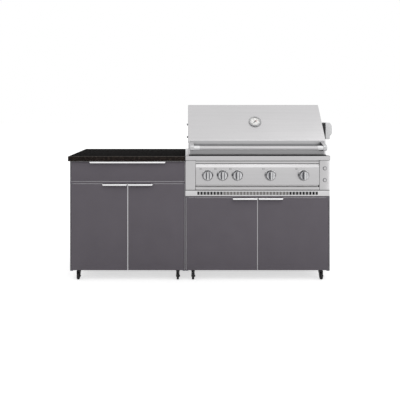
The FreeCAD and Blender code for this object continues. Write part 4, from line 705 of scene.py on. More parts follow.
    def chamfer(self, chosen: Callable[[Vector], bool], width: float) -> "Workpiece":
        """Takes a flat chamfer off the chosen edges.

        Args:
            chosen: Test that gets an edge's middle.
            width: Width in metres.

        Returns:
            This workpiece.
        """
        self.edit_faces(lambda middle, direction: False)
        bpy.ops.mesh.select_mode(type="EDGE")
        mesh = bmesh.from_edit_mesh(self.piece.data)
        for edge in mesh.edges:
            edge.select_set(chosen((edge.verts[0].co + edge.verts[1].co) / 2))
        bmesh.update_edit_mesh(self.piece.data)
        bpy.ops.mesh.bevel(offset=width, segments=1, affect="EDGES")
        bpy.ops.object.mode_set(mode="OBJECT")
        return self

    def join(self, *others: "Workpiece") -> "Workpiece":
        """Joins other workpieces into this one.

        Args:
            others: The workpieces that go into this one.

        Returns:
            This workpiece.
        """
        self.activate()
        for other in others:
            other.piece.select_set(True)
        bpy.ops.object.join()
        return self

    def split(self, spot: Vector, normal: Vector) -> "Workpiece":
        """Splits the faces along a plane.

        Args:
            spot: Point on the plane.
            normal: Direction across the plane.

        Returns:
            This workpiece.
        """
        self.edit_faces(lambda middle, direction: True)
        bpy.ops.mesh.bisect(plane_co=spot, plane_no=normal)
        bpy.ops.object.mode_set(mode="OBJECT")
        return self

    def cut(self, cutter: "Workpiece") -> "Workpiece":
        """Cuts another workpiece out of this one and removes it.

        Args:
            cutter: The workpiece that leaves its hollow.

        Returns:
            This workpiece.
        """
        self.activate()
        hollow = self.piece.modifiers.new("hollow", "BOOLEAN")
        hollow.operation = "DIFFERENCE"
        hollow.object = cutter.piece
        bpy.ops.object.modifier_apply(modifier=hollow.name)
        bpy.data.objects.remove(cutter.piece)
        return self

    def copy(self, name: str, shift: Vector) -> "Workpiece":
        """Copies this piece with a mesh of its own.

        Args:
            name: Name of the copy.
            shift: Way from this piece to the copy.

        Returns:
            The copy.
        """
        piece = self.piece.copy()
        piece.data = self.piece.data.copy()
        bpy.context.scene.collection.objects.link(piece)
        work = Workpiece(piece, name)
        piece.location = shift
        work.settle()
        return work

    def coat(self, material: bpy.types.Material) -> "Workpiece":
        """Gives the whole piece one finish.

        Args:
            material: The finish.

        Returns:
            This workpiece.
        """
        self.piece.data.materials.clear()
        self.piece.data.materials.append(material)
        return self

    def fit(self, body: str, slot: str, angle: float = 35) -> "Workpiece":
        """Smooths the piece, lets it ride and reports it.

        Args:
            body: Body that carries it.
            slot: Material slot of the record; not used.
            angle: Angle in degrees up to which faces shade smoothly.

        Returns:
            This workpiece.
        """
        self.activate()
        bpy.ops.object.shade_smooth_by_angle(angle=math.radians(angle))
        deselect()
        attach(self.piece, body)
        log.info("%s rides on %s, %d faces", self.piece.name, body, len(self.piece.data.polygons))
        return self

    def stand_in(self, slot: str, node: str, angle: float = 35) -> "Workpiece":
        """Fits the piece in a CAD node's place, on the node's own body."""
        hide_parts(node)
        return self.fit(frame["nodes"][node]["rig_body"], slot, angle)


def dressed(node: str, slot: str, finish: bpy.types.Material, width_mm: float = 0.6, segments: int = 2,
            angle: float = 35) -> Workpiece:
    """Stands an eased copy in a CAD node's place.

    Args:
        node: Name of the CAD node.
        slot: Material slot of the record.
        finish: Material of the whole piece.
        width_mm: Width of its rounded edges in millimetres.
        segments: Number of facets across a rounded edge.
        angle: Angle in degrees up to which faces shade as one curve.

    Returns:
        The fitted copy.
    """
    work = Workpiece.welded(node, f"eased_{node}")
    if width_mm:
        work.ease(width_mm * MM, segments, angle)
    return work.coat(finish).stand_in(slot, node, angle)


@dataclass
class Fastener:
    """Round-headed screw with a recess for the driver."""

    finish: bpy.types.Material
    head_mm: float = 3.6
    rise_mm: float = 1.8
    recess_mm: float = 1.3
    sides: int = 20

    def drive(self, name: str, body: str, slot: str, axis: Vector, spots: list[Vector]) -> None:
        """Makes one screw and copies it to every spot.

        Args:
            name: Name of the joined piece.
            body: Body that carries the screws.
            slot: Material slot of the record.
            axis: Direction in which the heads stand out.
            spots: Places of the heads on the surface.
        """
        head, rise, recess = self.head_mm, self.rise_mm, self.recess_mm
        profile = [(head, -0.4), (head, rise * 0.35), (head * 0.85, rise * 0.8), (head * 0.6, rise),
                   (recess, rise), (recess * 0.8, rise - 0.9)]
        first = Workpiece.turned(name, spots[0], axis, profile, self.sides).coat(self.finish)
        others = [first.copy(f"{name}_copy", spot - spots[0]) for spot in spots[1:]]
        first.join(*others).fit(body, slot)


@dataclass
class Cabinets:
    """Boards, fronts, pulls, frames, drawer, stone top and what is fastened behind."""

    finishes: Finishes
    board_edge_mm: float = 0.8
    pull_edge_mm: float = 0.5
    lip_mm: float = 2.2
    stone_edge_mm: float = 2.0
    board_mm: float = 16.0
    frame_edge_mm: float = 0.3
    split_mm: float = 8.0
    lintel_mm: float = 50.0
    left_screws: int = 5
    right_screws: int = 6
    screw_inset_mm: float = 60.0
    pipe_mm: float = 10.0
    elbow_mm: float = 11.5

    def build(self) -> None:
        """Dresses every piece of the two cabinets."""
        for node in ("left_carcass", "right_carcass", "left_shelf", "drawer_box"):
            dressed(node, "slate_board", self.finishes.board, self.board_edge_mm, 1)
        for node in ("drawer_front", "left_outer_door", "left_inner_door", "right_inner_door", "right_outer_door"):
            dressed(node, "slate_board", self.finishes.board, self.board_edge_mm)
        dressed("right_stop_frame", "satin_aluminium", self.finishes.satin_and_shade, self.frame_edge_mm, 1)
        self.left_frame()
        for name in ("drawer", "left_outer", "left_inner", "right_inner", "right_outer"):
            self.pull(f"{name}_pull")
        for node in ("pivot_brackets", "drawer_runners", "drawer_slides"):
            dressed(node, "zinc_steel", self.finishes.zinc, self.frame_edge_mm, 1)
        self.stone_top()
        self.back_screws("left_carcass", self.left_screws, True)
        self.back_screws("right_carcass", self.right_screws, False)
        self.pipe_seal()

    def pull(self, node: str) -> None:
        """Dresses an edge pull, whose lip has a chamfer along its lower edge painted in satin grey as painted shade.

        Args:
            node: CAD node of the pull.
        """
        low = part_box(node)[0]
        near = 0.1 * MM
        lean = 0.3
        work = Workpiece.welded(node, f"eased_{node}")
        work.chamfer(lambda spot: abs(spot.y - low.y) < near and abs(spot.z - low.z) < near, self.lip_mm * MM)
        work.ease(self.pull_edge_mm * MM).coat(self.finishes.bright)
        # The downward-facing chamfer is painted satin grey as painted shade under the lip.
        work.paint(lambda spot, normal: normal.z < -lean and normal.y < -lean, self.finishes.satin_and_shade)
        work.stand_in("bright_aluminium", node)

    def stone_top(self) -> None:
        """Eases the slab's edges, paints its sides a shade paler than its top as painted light and its front arris
        paler as a painted highlight.
        """
        work = Workpiece.welded("countertop", "honed_slab").ease(self.stone_edge_mm * MM, 3)
        work.coat(self.finishes.stone)
        # The sides are painted a shade paler than the top as painted light.
        work.paint(lambda spot, normal: normal.z < 0.8, self.finishes.lit_side_stone)
        # The front arris is painted pale as a painted highlight.
        work.paint(lambda spot, normal: 0.2 < normal.z < 0.97 and normal.y < -0.2, self.finishes.edge_highlight)
        work.stand_in("black_stone", "countertop")

    def left_frame(self) -> None:
        """Dresses the left stop frame, with painted light in the doors' split and on the strip under the stone."""
        middle = middle_of("left_stop_frame")
        reach = self.split_mm / 2 * MM
        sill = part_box("left_stop_frame")[0].z + 2 * self.board_mm * MM
        lintel = middle.z + self.lintel_mm * MM
        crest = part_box("drawer_pull")[1].z
        work = Workpiece.welded("left_stop_frame", "eased_left_stop_frame").ease(self.frame_edge_mm * MM, 1)
        work.coat(self.finishes.satin_and_shade)
        # The strip in the doors' split is painted brighter as painted light.
        work.paint(lambda spot, normal: abs(spot.x - middle.x) < reach and sill < spot.z < lintel,
                   self.finishes.split)
        # The strip under the stone is painted near white as painted light where the stone's overhang shades it.
        work.paint(lambda spot, normal: spot.z > crest, self.finishes.bright)
        work.stand_in("satin_aluminium", "left_stop_frame")

    def back_screws(self, node: str, count: int, closed_above: bool) -> None:
        """Screws a back board to the boards that it closes.

        Args:
            node: CAD node of the cabinet's boards.
            count: Number of screws in a row.
            closed_above: Whether a board at the top takes a row as well.
        """
        low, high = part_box(node)
        half = self.board_mm / 2 * MM
        inset = self.screw_inset_mm * MM
        levels = [low.z + half] + ([high.z - half] if closed_above else [])
        step = (high.x - low.x - 2 * inset) / (count - 1)
        spots = [Vector((low.x + inset + i * step, high.y, level)) for level in levels for i in range(count)]
        Fastener(self.finishes.zinc).drive(f"back_screws_{node}", "island", "zinc_steel", BACK, spots)

    def pipe_seal(self) -> None:
        """Seals the gas pipe's hole in the back board with a rubber grommet."""
        low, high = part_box("gas_manifold")
        spot = Vector((high.x - self.elbow_mm * MM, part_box("right_carcass")[1].y, low.z + self.elbow_mm * MM))
        pipe = self.pipe_mm
        profile = [(pipe + 0.1, -3.0), (pipe + 1.8, -3.0), (pipe + 1.8, 0.0), (pipe + 6.5, 0.0),
                   (pipe + 6.5, 1.4), (pipe + 5.5, 2.4), (pipe + 1.6, 3.4), (pipe + 0.1, 3.2)]
        shade_strip = Workpiece.turned("pipe_grommet", spot, BACK, profile, sides=40, ring=True)
        shade_strip.coat(self.finishes.rubber).fit("island", "black_rubber")


@dataclass
class Casters:
    """Plates, forks, wheels, the axles' nuts and the screws that hold the plates."""

    finishes: Finishes
    tread_mm: float = 25.0
    rim_mm: float = 19.5
    bore_mm: float = 4.08
    half_width_mm: float = 8.5
    plate_edge_mm: float = 0.5
    edge_mm: float = 0.6
    shade_angle: float = 40
    guard_start_mm: float = 6.0
    guard_end_mm: float = 34.0
    guard_gap_mm: float = 2.0
    guard_drop_mm: float = 1.0
    guard_taper: float = 0.8
    guard_edge_mm: float = 1.0
    cheek_mm: float = 11.6
    nut_mm: float = 7.0
    nut_reach_mm: float = 4.4
    plate_mm: float = 3.0
    screw_reach_mm: float = 24.0
    screw_head_mm: float = 3.2
    screw_rise_mm: float = 1.6

    def build(self) -> None:
        """Makes one wheel, copies it to every place and dresses the forks and plates."""
        dressed("caster_plates", "zinc_steel", self.finishes.coated, self.plate_edge_mm, 2, self.shade_angle)
        for number in range(1, 5):
            self.fork(number)
        middle = middle_of("front_wheel_1")
        pattern = self.wheel(middle)
        for row in ("front", "rear"):
            for number in range(1, 5):
                node = f"{row}_wheel_{number}"
                pattern.copy(f"cast_{node}", middle_of(node) - middle).stand_in("black_rubber", node)
                self.axle_ends(node)
        bpy.data.objects.remove(pattern.piece)
        self.plate_screws()

    def fork(self, number: int) -> None:
        """Dresses a front fork and closes the space over its wheel with a guard.

        Args:
            number: Number of the caster.
        """
        node = f"front_fork_{number}"
        low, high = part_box(node)
        middle = middle_of(node).x
        half = self.cheek_mm * MM
        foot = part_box(f"front_wheel_{number}")[1].z + self.guard_gap_mm * MM
        corner = Vector((middle - half, low.y + self.guard_start_mm * MM, foot))
        far_corner = Vector((middle + half, low.y + self.guard_end_mm * MM, high.z - self.guard_drop_mm * MM))
        guard = Workpiece.block("guard", corner, far_corner)
        guard.taper(lambda spot, normal: normal.z < -STRAIGHT, (1, self.guard_taper, 1))
        guard.ease(self.guard_edge_mm * MM, 2)
        work = Workpiece.welded(node, f"eased_{node}").ease(self.edge_mm * MM, 2, self.shade_angle)
        work.join(guard).coat(self.finishes.nylon).stand_in("black_caster", node, self.shade_angle)

    def axle_ends(self, node: str) -> None:
        """Puts a nut on the right end of a wheel's axle and a flat head on its left end.

        Args:
            node: Name of the wheel's node.
        """
        middle = middle_of(node)
        cheek = self.cheek_mm * MM
        across, reach = self.nut_mm, self.nut_reach_mm
        body = frame["nodes"][node.replace("wheel", "fork")]["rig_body"] if node.startswith("front") else "island"
        nut_profile = [(across, 0.0), (across, reach - 0.8), (across - 0.9, reach)]
        head_profile = [(across, 0.0), (across, 0.5), (across - 1.4, 1.2)]
        nut = Workpiece.turned(f"axle_nut_{node}", middle + RIGHT * cheek, RIGHT, nut_profile, sides=6)
        nut.join(Workpiece.turned("axle_head", middle + LEFT * cheek, LEFT, head_profile, sides=24))
        nut.coat(self.finishes.coated).fit(body, "black_caster")

    def wheel(self, middle: Vector) -> Workpiece:
        """Turns a wheel with a crowned tread, a dished rim and a hub.

        Args:
            middle: Middle of the wheel.

        Returns:
            The wheel.
        """
        half = self.half_width_mm
        tread = self.tread_mm
        side = [(self.bore_mm, half), (8.0, half), (9.0, half - 0.6), (9.6, half - 2.6), (17.2, half - 2.6),
                (18.2, half - 0.8), (self.rim_mm, half - 0.3), (22.6, half - 0.5), (23.9, half - 1.8),
                (24.7, half - 3.6), (tread, half - 6.0)]
        other = [(radius, -along) for radius, along in side[::-1]]
        work = Workpiece.turned("wheel_pattern", middle, RIGHT, side + other, sides=48, ring=True)
        work.coat(self.finishes.rubber)
        rim = self.rim_mm * MM
        return work.paint(lambda spot, normal: math.hypot(spot.y - middle.y, spot.z - middle.z) < rim,
                          self.finishes.nylon)

    def plate_screws(self) -> None:
        """Puts a screw in each corner of the caster plates, heads down."""
        plates = middle_of("caster_plates")
        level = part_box("caster_plates")[1].z - self.plate_mm * MM
        reach = self.screw_reach_mm * MM
        spots = []
        for number in range(1, 5):
            wheel = middle_of(f"rear_wheel_{number}")
            for y in (wheel.y, 2 * plates.y - wheel.y):
                spots += [Vector((wheel.x + across, y + along, level)) for across in (-reach, reach)
                          for along in (-reach, reach)]
        screw = Fastener(self.finishes.zinc, self.screw_head_mm, self.screw_rise_mm)
        screw.drive("plate_screws", "island", "zinc_steel", -UP, spots)


@dataclass
class Controls:
    """Knobs, their bezels, the push buttons and the etched marks beside them."""

    finishes: Finishes
    skirt_mm: float = 34.0
    face_mm: float = 30.0
    depth_mm: float = 33.0
    seat_mm: float = 2.0
    dish_mm: float = 4.2
    plinth_mm: float = 13.0
    plinth_edge_mm: float = 0.8
    bar_width_mm: float = 14.0
    bar_edge_mm: float = 2.2
    bar_rise_mm: float = 24.0
    bar_foot_mm: float = 9.5
    bar_taper: tuple[float, float, float] = (0.78, 1, 0.86)
    buffed_share: float = 0.6
    line_mm: float = 0.7
    # Outer radius, inner radius and height of a knob's bezel, and of a button's ring.
    bezel_mm: tuple[float, float, float] = (40.0, 35.0, 9.0)
    button_ring_mm: tuple[float, float, float] = (14.5, 10.3, 3.0)
    # Section of a bezel from its inner wall outwards, in shares of its width and height.
    bezel_section: tuple[tuple[float, float], ...] = ((0, 0), (0, 0.93), (0.1, 1), (0.24, 1), (0.6, 0.84),
                                                      (0.88, 0.56), (1, 0.3), (1, 0))
    # Shares of a bezel's outer radius: above the first, its top is a painted highlight; within the second of its
    # middle, its sides are painted dark reflections.
    highlight_share: float = 0.5
    side_shade_share: float = 0.22
    ticks: int = 8
    first_tick: float = 45.0
    tick_step: float = 27.0
    tick_ring_mm: float = 45.0
    tick_mm: float = 0.9
    mark_side_mm: float = 48.0
    mark_rise_mm: float = 43.0
    proud_mm: float = 0.15

    def build(self) -> None:
        """Makes one knob, bezel and button and copies them."""
        centre = middle_of("knob_1")
        centre.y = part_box("control_panel")[0].y
        knob = self.knob(centre)
        ring = self.bezel("bezel_pattern", centre, *self.bezel_mm)
        mark = self.etching(centre)
        rings = []
        marks = []
        for number in range(1, 6):
            shift = Vector((middle_of(f"knob_{number}").x - centre.x, 0, 0))
            knob.copy(f"cast_knob_{number}", shift).stand_in("polished_steel", f"knob_{number}")
            rings.append(ring.copy(f"bezel_{number}", shift))
            marks.append(mark.copy(f"marks_{number}", shift))
        marks[0].join(*marks[1:]).fit("island", "dial_black")
        centre = middle_of("push_button_1")
        centre.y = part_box("grill_front")[0].y
        button = self.button(centre)
        small = self.bezel("small_pattern", centre, *self.button_ring_mm).coat(self.finishes.casting)
        for number in range(1, 3):
            shift = Vector((0, 0, middle_of(f"push_button_{number}").z - centre.z))
            button.copy(f"pressed_button_{number}", shift).stand_in("polished_steel", f"push_button_{number}")
            rings.append(small.copy(f"button_ring_{number}", shift))
        rings[0].piece.name = "turned_bezels"
        rings[0].join(*rings[1:]).stand_in("polished_steel", "control_bezels")
        for pattern in (knob, ring, mark, button, small):
            bpy.data.objects.remove(pattern.piece)

    def knob(self, centre: Vector) -> Workpiece:
        """Turns a knob with a flared skirt and sets the grip bar on it.

        Args:
            centre: Middle of the knob on the panel's face.

        Returns:
            The knob.
        """
        face, depth = self.face_mm, self.depth_mm
        profile = [(4.0, -24.0), (4.0, 0.0), (self.skirt_mm - 1.0, 0.0), (self.skirt_mm, 1.0),
                   (self.skirt_mm, 8.0), (self.skirt_mm - 1.2, 9.2), (face + 1.6, 10.5), (face + 0.6, 14.0),
                   (face, depth - 2.6), (face - 0.8, depth - 0.8), (face - 2.6, depth), (face - 4.4, depth - 0.5),
                   (self.plinth_mm, depth - self.dish_mm)]
        base = centre + FRONT * self.seat_mm * MM
        body = Workpiece.turned("knob_pattern", base, FRONT, profile, sides=72).coat(self.finishes.chrome)
        # The knob's walls are painted grey as painted shade, the dark arc round its face.
        body.paint(lambda spot, normal: abs(normal.y) < 0.5, self.finishes.grey_shade)
        half = self.plinth_mm * MM
        length = math.sqrt((face - 2.6) ** 2 - self.plinth_mm**2) * MM
        low = Vector((centre.x - half, base.y - (depth + 0.3) * MM, centre.z - length))
        high = Vector((centre.x + half, base.y - (depth - self.dish_mm) * MM, centre.z + length))
        # The plinth round the bar's foot is painted grey as painted shade beside the bar.
        plinth = Workpiece.block("plinth", low, high).ease(self.plinth_edge_mm * MM, 2).coat(self.finishes.grey_shade)
        return body.join(plinth, self.grip(centre, base))

    def grip(self, centre: Vector, base: Vector) -> Workpiece:
        """Shapes a knob's grip bar, with painted shade at the root of its flanks and an engraved line near its top.

        Args:
            centre: Middle of the knob on the panel's face.
            base: Middle of the knob's back.

        Returns:
            The bar.
        """
        reach = (self.face_mm + 1.0) * MM
        front = base.y - (self.depth_mm + self.bar_rise_mm) * MM
        half = self.bar_width_mm / 2 * MM
        low = Vector((centre.x - half, front, centre.z - reach))
        high = Vector((centre.x + half, base.y - self.bar_foot_mm * MM, centre.z + reach))
        bar = Workpiece.block("bar", low, high)
        bar.taper(lambda spot, normal: normal.y < -STRAIGHT, self.bar_taper)
        bar.ease(self.bar_edge_mm * MM, 4).coat(self.finishes.buffed)
        root = front + self.bar_rise_mm * self.buffed_share * MM
        bar.split(Vector((0, root, 0)), FRONT)
        # The flanks beyond the root are painted grey as painted shade.
        bar.paint(lambda spot, normal: abs(normal.x) > 0.8 and spot.y > root, self.finishes.grey_shade)
        half = self.line_mm * MM
        low = Vector((centre.x - half, front - 0.98 * MM, centre.z + reach * 0.55))
        high = Vector((centre.x + half, front + 1.5 * MM, centre.z + reach * 0.76))
        return bar.cut(Workpiece.block("line", low, high).coat(self.finishes.ink))

    def bezel(self, name: str, centre: Vector, outer: float, inner: float, depth: float) -> Workpiece:
        """Turns a ring whose face slopes outwards from its crest, with a painted highlight at the top and painted dark
        reflections at the sides.

        Args:
            name: Name of the piece.
            centre: Middle of the ring on the sheet's face.
            outer: Outer radius in millimetres.
            inner: Inner radius in millimetres.
            depth: Height over the sheet in millimetres.

        Returns:
            The ring.
        """
        profile = [(inner + (outer - inner) * across, depth * up) for across, up in self.bezel_section]
        ring = Workpiece.turned(name, centre, FRONT, profile, sides=64, ring=True).coat(self.finishes.ring)
        reach = outer * MM
        # The top of the ring is painted near white as a painted highlight, and its sides grey as painted dark
        # reflections.
        ring.paint(lambda spot, normal: spot.z - centre.z > reach * self.highlight_share, self.finishes.bright)
        return ring.paint(lambda spot, normal: abs(spot.z - centre.z) < reach * self.side_shade_share,
                          self.finishes.grey_shade)

    def button(self, centre: Vector) -> Workpiece:
        """Turns a push button with a shallow dish for the fingertip, round a point on the stile's face."""
        profile = [(10.0, -20.0), (10.0, 5.6), (9.6, 6.5), (8.6, 7.0), (7.4, 6.8), (4.5, 6.2), (1.5, 5.9)]
        return Workpiece.turned("button_pattern", centre, FRONT, profile, sides=40).coat(self.finishes.upright)

    def etching(self, centre: Vector) -> Workpiece:
        """Lays ticks round a knob and a plain burner mark at its upper left.

        Args:
            centre: Middle of the knob on the panel's face.

        Returns:
            The marks.
        """
        proud = self.proud_mm * MM
        size = self.tick_mm * MM
        corner = Vector((size, 0, size))
        bits = []
        for i in range(self.ticks):
            angle = math.radians(self.first_tick - i * self.tick_step)
            middle = centre + Vector((math.cos(angle), 0, math.sin(angle))) * self.tick_ring_mm * MM
            bits.append(Workpiece.block("tick", middle - corner + FRONT * proud, middle + corner))
        spot = centre + Vector((-self.mark_side_mm * MM, 0, self.mark_rise_mm * MM))
        # The strokes' left, right, lower and upper ends in millimetres.
        for left, right, foot, top in ((-8, 8, 4, 5), (-8, 8, -5, -4), (-8, -7, -4, 4), (7, 8, -4, 4),
                                       (-5, -1, -2, 2)):
            low = spot + Vector((left * MM, -proud, foot * MM))
            high = spot + Vector((right * MM, 0, top * MM))
            bits.append(Workpiece.block("stroke", low, high))
        return bits[0].join(*bits[1:]).coat(self.finishes.ink)


@dataclass
class Dial:
    """Thermometer on the hood's slope with its printed scale."""

    finishes: Finishes
    case_mm: float = 46.0
    face_mm: float = 35.0
    proud_mm: float = 14.0
    floor_mm: float = 5.0
    plate_mm: float = 0.5
    print_mm: float = 0.12
    stem_mm: float = 55.0
    sweep: float = 270.0
    steps: int = 20
    main_every: int = 4
    # Inner end and half the width of a main tick, and of a small one.
    main_tick_mm: tuple[float, float] = (26.5, 0.45)
    small_tick_mm: tuple[float, float] = (28.7, 0.25)
    tick_end_mm: float = 31.5
    number_ring_mm: float = 21.5
    digit_mm: float = 6.0
    hot_zone: tuple[int, int] = (12, 17)
    # Inner, middle and outer radius of the hot zone.
    zone_mm: tuple[float, float, float] = (9.5, 12.0, 14.0)
    # Heights of the pane's back and front.
    pane_mm: tuple[float, float] = (10.6, 12.0)

    def build(self) -> None:
        """Makes the case, the printed face, the pane and the needle."""
        joint = next(j for j in frame["joints"] if j["name"] == "needle_turn")
        spot = Vector(joint["pos_m"])
        normal = Vector(joint["axis"]).normalized()
        if normal.y > 0:
            normal = -normal
        up = RIGHT.cross(normal) if RIGHT.cross(normal).z > 0 else normal.cross(RIGHT)
        face, floor, proud = self.face_mm, self.floor_mm, self.proud_mm
        rim = [(self.case_mm, 0.2), (self.case_mm, 4.0), (self.case_mm - 1.5, 9.0), (self.case_mm - 5.0, 13.0),
               (self.case_mm - 8.0, proud), (face + 1.0, proud - 0.6), (face, proud - 1.6), (face, floor),
               (2.0, floor), (1.45, floor), (1.45, floor + 3.6)]
        case = Workpiece.turned("dial_case", spot, normal, rim, sides=72).coat(self.finishes.ring)
        stem = [(4.0, 0.0), (4.0, self.stem_mm - 1.0), (2.5, self.stem_mm)]
        case.join(Workpiece.turned("dial_stem", spot, -normal, stem, sides=24).coat(self.finishes.sheet))
        case.stand_in("stainless", "thermometer")
        top = floor + self.plate_mm
        disc = [(face - 0.2, floor), (face - 0.2, top), (2.2, top), (2.2, floor)]
        plate = Workpiece.turned("dial_face", spot, normal, disc, sides=64, ring=True)
        plate.coat(self.finishes.enamel).fit("hood_group", "dial_white")
        base = spot + normal * top * MM
        across = up.cross(normal)
        turn = Matrix((across, up, normal)).transposed().to_4x4()
        self.print_scale(Matrix.Translation(base) @ turn)
        pane = [(face - 0.1, level) for level in self.pane_mm]
        glass = Workpiece.turned("dial_pane", spot, normal, pane, sides=64).coat(self.finishes.glass)
        glass.fit("hood_group", "dial_white")
        dressed("thermometer_needle", "dial_black", self.finishes.ink, 0.0)

    def print_scale(self, stand: Matrix) -> None:
        """Prints ticks, plain numbers and a hot zone on the dial's face.

        Args:
            stand: Frame of the face, with its Z axis outwards and its Y axis up the slope.
        """
        depth = self.print_mm * MM
        ticks = []
        zone = []
        zone_start, zone_middle, zone_end = self.zone_mm
        zone_half = math.radians(self.sweep / self.steps) * zone_middle / 2 * MM
        for i in range(self.steps + 1):
            angle = math.radians(90 + self.sweep / 2 - i * self.sweep / self.steps)
            turn = stand @ Matrix.Rotation(angle, 4, "Z")
            main = i % self.main_every == 0
            start, half = self.main_tick_mm if main else self.small_tick_mm
            low = Vector((start * MM, -half * MM, 0))
            tick = Workpiece.block("tick", low, Vector((self.tick_end_mm * MM, half * MM, depth)))
            ticks.append(tick.place(turn))
            if main:
                spot = Vector((math.cos(angle), math.sin(angle), 0)) * self.number_ring_mm * MM
                number = Workpiece.numeral("number", str(100 * i // self.steps), self.digit_mm * MM, depth)
                ticks.append(number.place(stand @ Matrix.Translation(spot)))
            if self.hot_zone[0] <= i < self.hot_zone[1]:
                bar = Workpiece.block("zone", Vector((zone_start * MM, -zone_half, 0)),
                                      Vector((zone_end * MM, zone_half, depth)))
                zone.append(bar.place(turn))
        for name, bits, finish in (("dial_print", ticks, self.finishes.ink), ("dial_zone", zone, self.finishes.red)):
            bits[0].piece.name = name
            bits[0].join(*bits[1:]).coat(finish).fit("hood_group", "dial_black")


@dataclass
class Grill:
    """Steel front, deck, firebox, hood, cheeks, handle and motor."""

    finishes: Finishes
    fold_mm: float = 0.5
    strip_edge_mm: float = 0.3
    bracket_edge_mm: float = 1.5
    cover_edge_mm: float = 2.0
    vents_mm: float = 849.0
    baffle_mm: float = 9.0
    header_mm: float = 13.0
    seam_drop_mm: float = 25.0
    apron_mm: float = 43.0
    shade_strip_mm: float = 0.8
    # How far the rim's strip of painted shade starts and ends below the rim, and how far the apron's reaches below and
    # above its seam.
    rim_shade_mm: tuple[float, float] = (10.6, 6.8)
    apron_shade_mm: tuple[float, float] = (3.0, 0.4)
    end_shade_mm: float = 3.5
    panel_shade_mm: float = 4.0
    hood_shade_inset_mm: float = 4.0
    hood_shade_front_mm: float = 29.0
    hood_shade_back_mm: float = 4.0
    hood_shade_mm: float = 3.2
    lip_mm: float = 3.0
    band_mm: float = 98.0
    hem_mm: float = 1.8
    hem_depth_mm: float = 1.5
    hem_lap_mm: float = 0.2
    handle_mm: float = 13.5
    handle_wall_mm: float = 2.0
    sleeve_mm: float = 38.0
    head_mm: float = 8.0
    neck_mm: float = 4.5
    slots: int = 6
    slot_step_mm: float = 7.0
    slot_depth_mm: float = 2.5
    slot_length_mm: float = 40.0
    slot_width_mm: float = 2.6

    def build(self) -> None:
        """Dresses the grill's sheets and castings."""
        finishes = self.finishes
        for node, slot, finish, edge_mm, segments, angle in (
            ("control_panel", "stainless", finishes.sheet, self.fold_mm, 1, 35),
            ("drip_tray", "stainless", finishes.sheet, self.fold_mm, 1, 35),
            ("side_cheeks", "stainless", finishes.upright, self.fold_mm, 1, 35),
            ("firebox", "stainless", finishes.fired_and_shade, 0.4, 1, 35),
            ("flame_tamers", "stainless", finishes.fired_and_shade, 0.4, 1, 35),
            ("burners", "stainless", finishes.fired_and_shade, 0.4, 1, 45),
            ("cooking_grates", "cast_grate", finishes.iron, 1.2, 2, 35),
            ("gas_manifold", "brass", finishes.brass, 0.8, 2, 50),
            ("motor_gearcase", "motor_black", finishes.motor_black, 1.5, 3, 35),
            ("motor_chuck", "polished_steel", finishes.chrome, 0.4, 2, 40),
        ):
            dressed(node, slot, finish, edge_mm, segments, angle)
        self.deck()
        self.steel_front()
        self.shade_lines()
        self.hood()
        self.brackets()
        self.handle()
        self.thumb_screws()
        self.motor_cover()

    def deck(self) -> None:
        """Dresses the deck, whose rounded front edge carries a painted dark reflection of the gap under the hood."""
        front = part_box("grill_deck")[0].y
        work = Workpiece.welded("grill_deck", "folded_deck").ease(self.fold_mm * MM, 1).coat(self.finishes.sheet)
        # The rounded front edge is painted dark as a painted reflection of the shaded gap under the hood.
        work.paint(lambda spot, normal: spot.y - front < self.lip_mm * MM and normal.y < -0.2 and normal.z > 0.3,
                   self.finishes.dark_shade)
        work.stand_in("stainless", "grill_deck")

    def hood(self) -> None:
        """Dresses the hood, with painted shade on its lower band between the handle's arms and a hem along its front
        edge in the band's painted shade.
        """
        low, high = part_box("hood")
        knee = low.z + self.band_mm * MM
        work = Workpiece.welded("hood", "folded_hood").ease(self.strip_edge_mm * MM, 1).coat(self.finishes.sheet)
        work.paint(lambda spot, normal: abs(normal.x) > STRAIGHT, self.finishes.upright)
        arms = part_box("handle_brackets")
        for x in (arms[0].x, arms[1].x):
            work.split(Vector((x, 0, 0)), RIGHT)
        # The lower band between the arms gets painted shade, darker below the handle, with a painted shadow line above
        # the tube.
        work.paint(lambda spot, normal: normal.y < -0.97 and spot.z < knee and arms[0].x < spot.x < arms[1].x,
                   self.finishes.band)
        work.stand_in("stainless", "hood")
        # The hem takes the band's painted shade.
        start = Vector((low.x, low.y, low.z - self.hem_mm * MM))
        end = Vector((high.x, low.y + self.hem_depth_mm * MM, low.z + self.hem_lap_mm * MM))
        self.strip("hood_hem", start, end, self.finishes.band).fit("hood_group", "stainless")

    def steel_front(self) -> None:
        """Dresses the front's sheets: painted shade on the baffle behind the vents, and an apron painted paler as
        painted light and darker between the vents as painted shade.
        """
        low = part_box("grill_front")[0]
        middle = middle_of("grill_front").x
        reach = self.vents_mm / 2 * MM
        work = Workpiece.welded("grill_front", "folded_front").ease(self.fold_mm * MM, 1)
        work.coat(self.finishes.sheet)
        apron = low.z + self.apron_mm * MM
        for x in (middle - reach, middle + reach):
            work.split(Vector((x, 0, 0)), RIGHT)
        baffle = low.y + self.baffle_mm * MM
        # The baffle behind the vents is painted dark as painted shade in the vents.
        work.paint(lambda spot, normal: abs(spot.y - baffle) < MM and normal.y < -STRAIGHT, self.finishes.fired_and_shade)
        # The apron is painted a shade paler as painted light.
        work.paint(lambda spot, normal: spot.z < apron and spot.y - low.y < MM, self.finishes.apron)
        # Between the vents the apron is painted darker as painted shade.
        work.paint(lambda spot, normal: spot.z < apron and spot.y - low.y < MM and abs(spot.x - middle) < reach,
                   self.finishes.vents)
        work.stand_in("stainless", "grill_front")

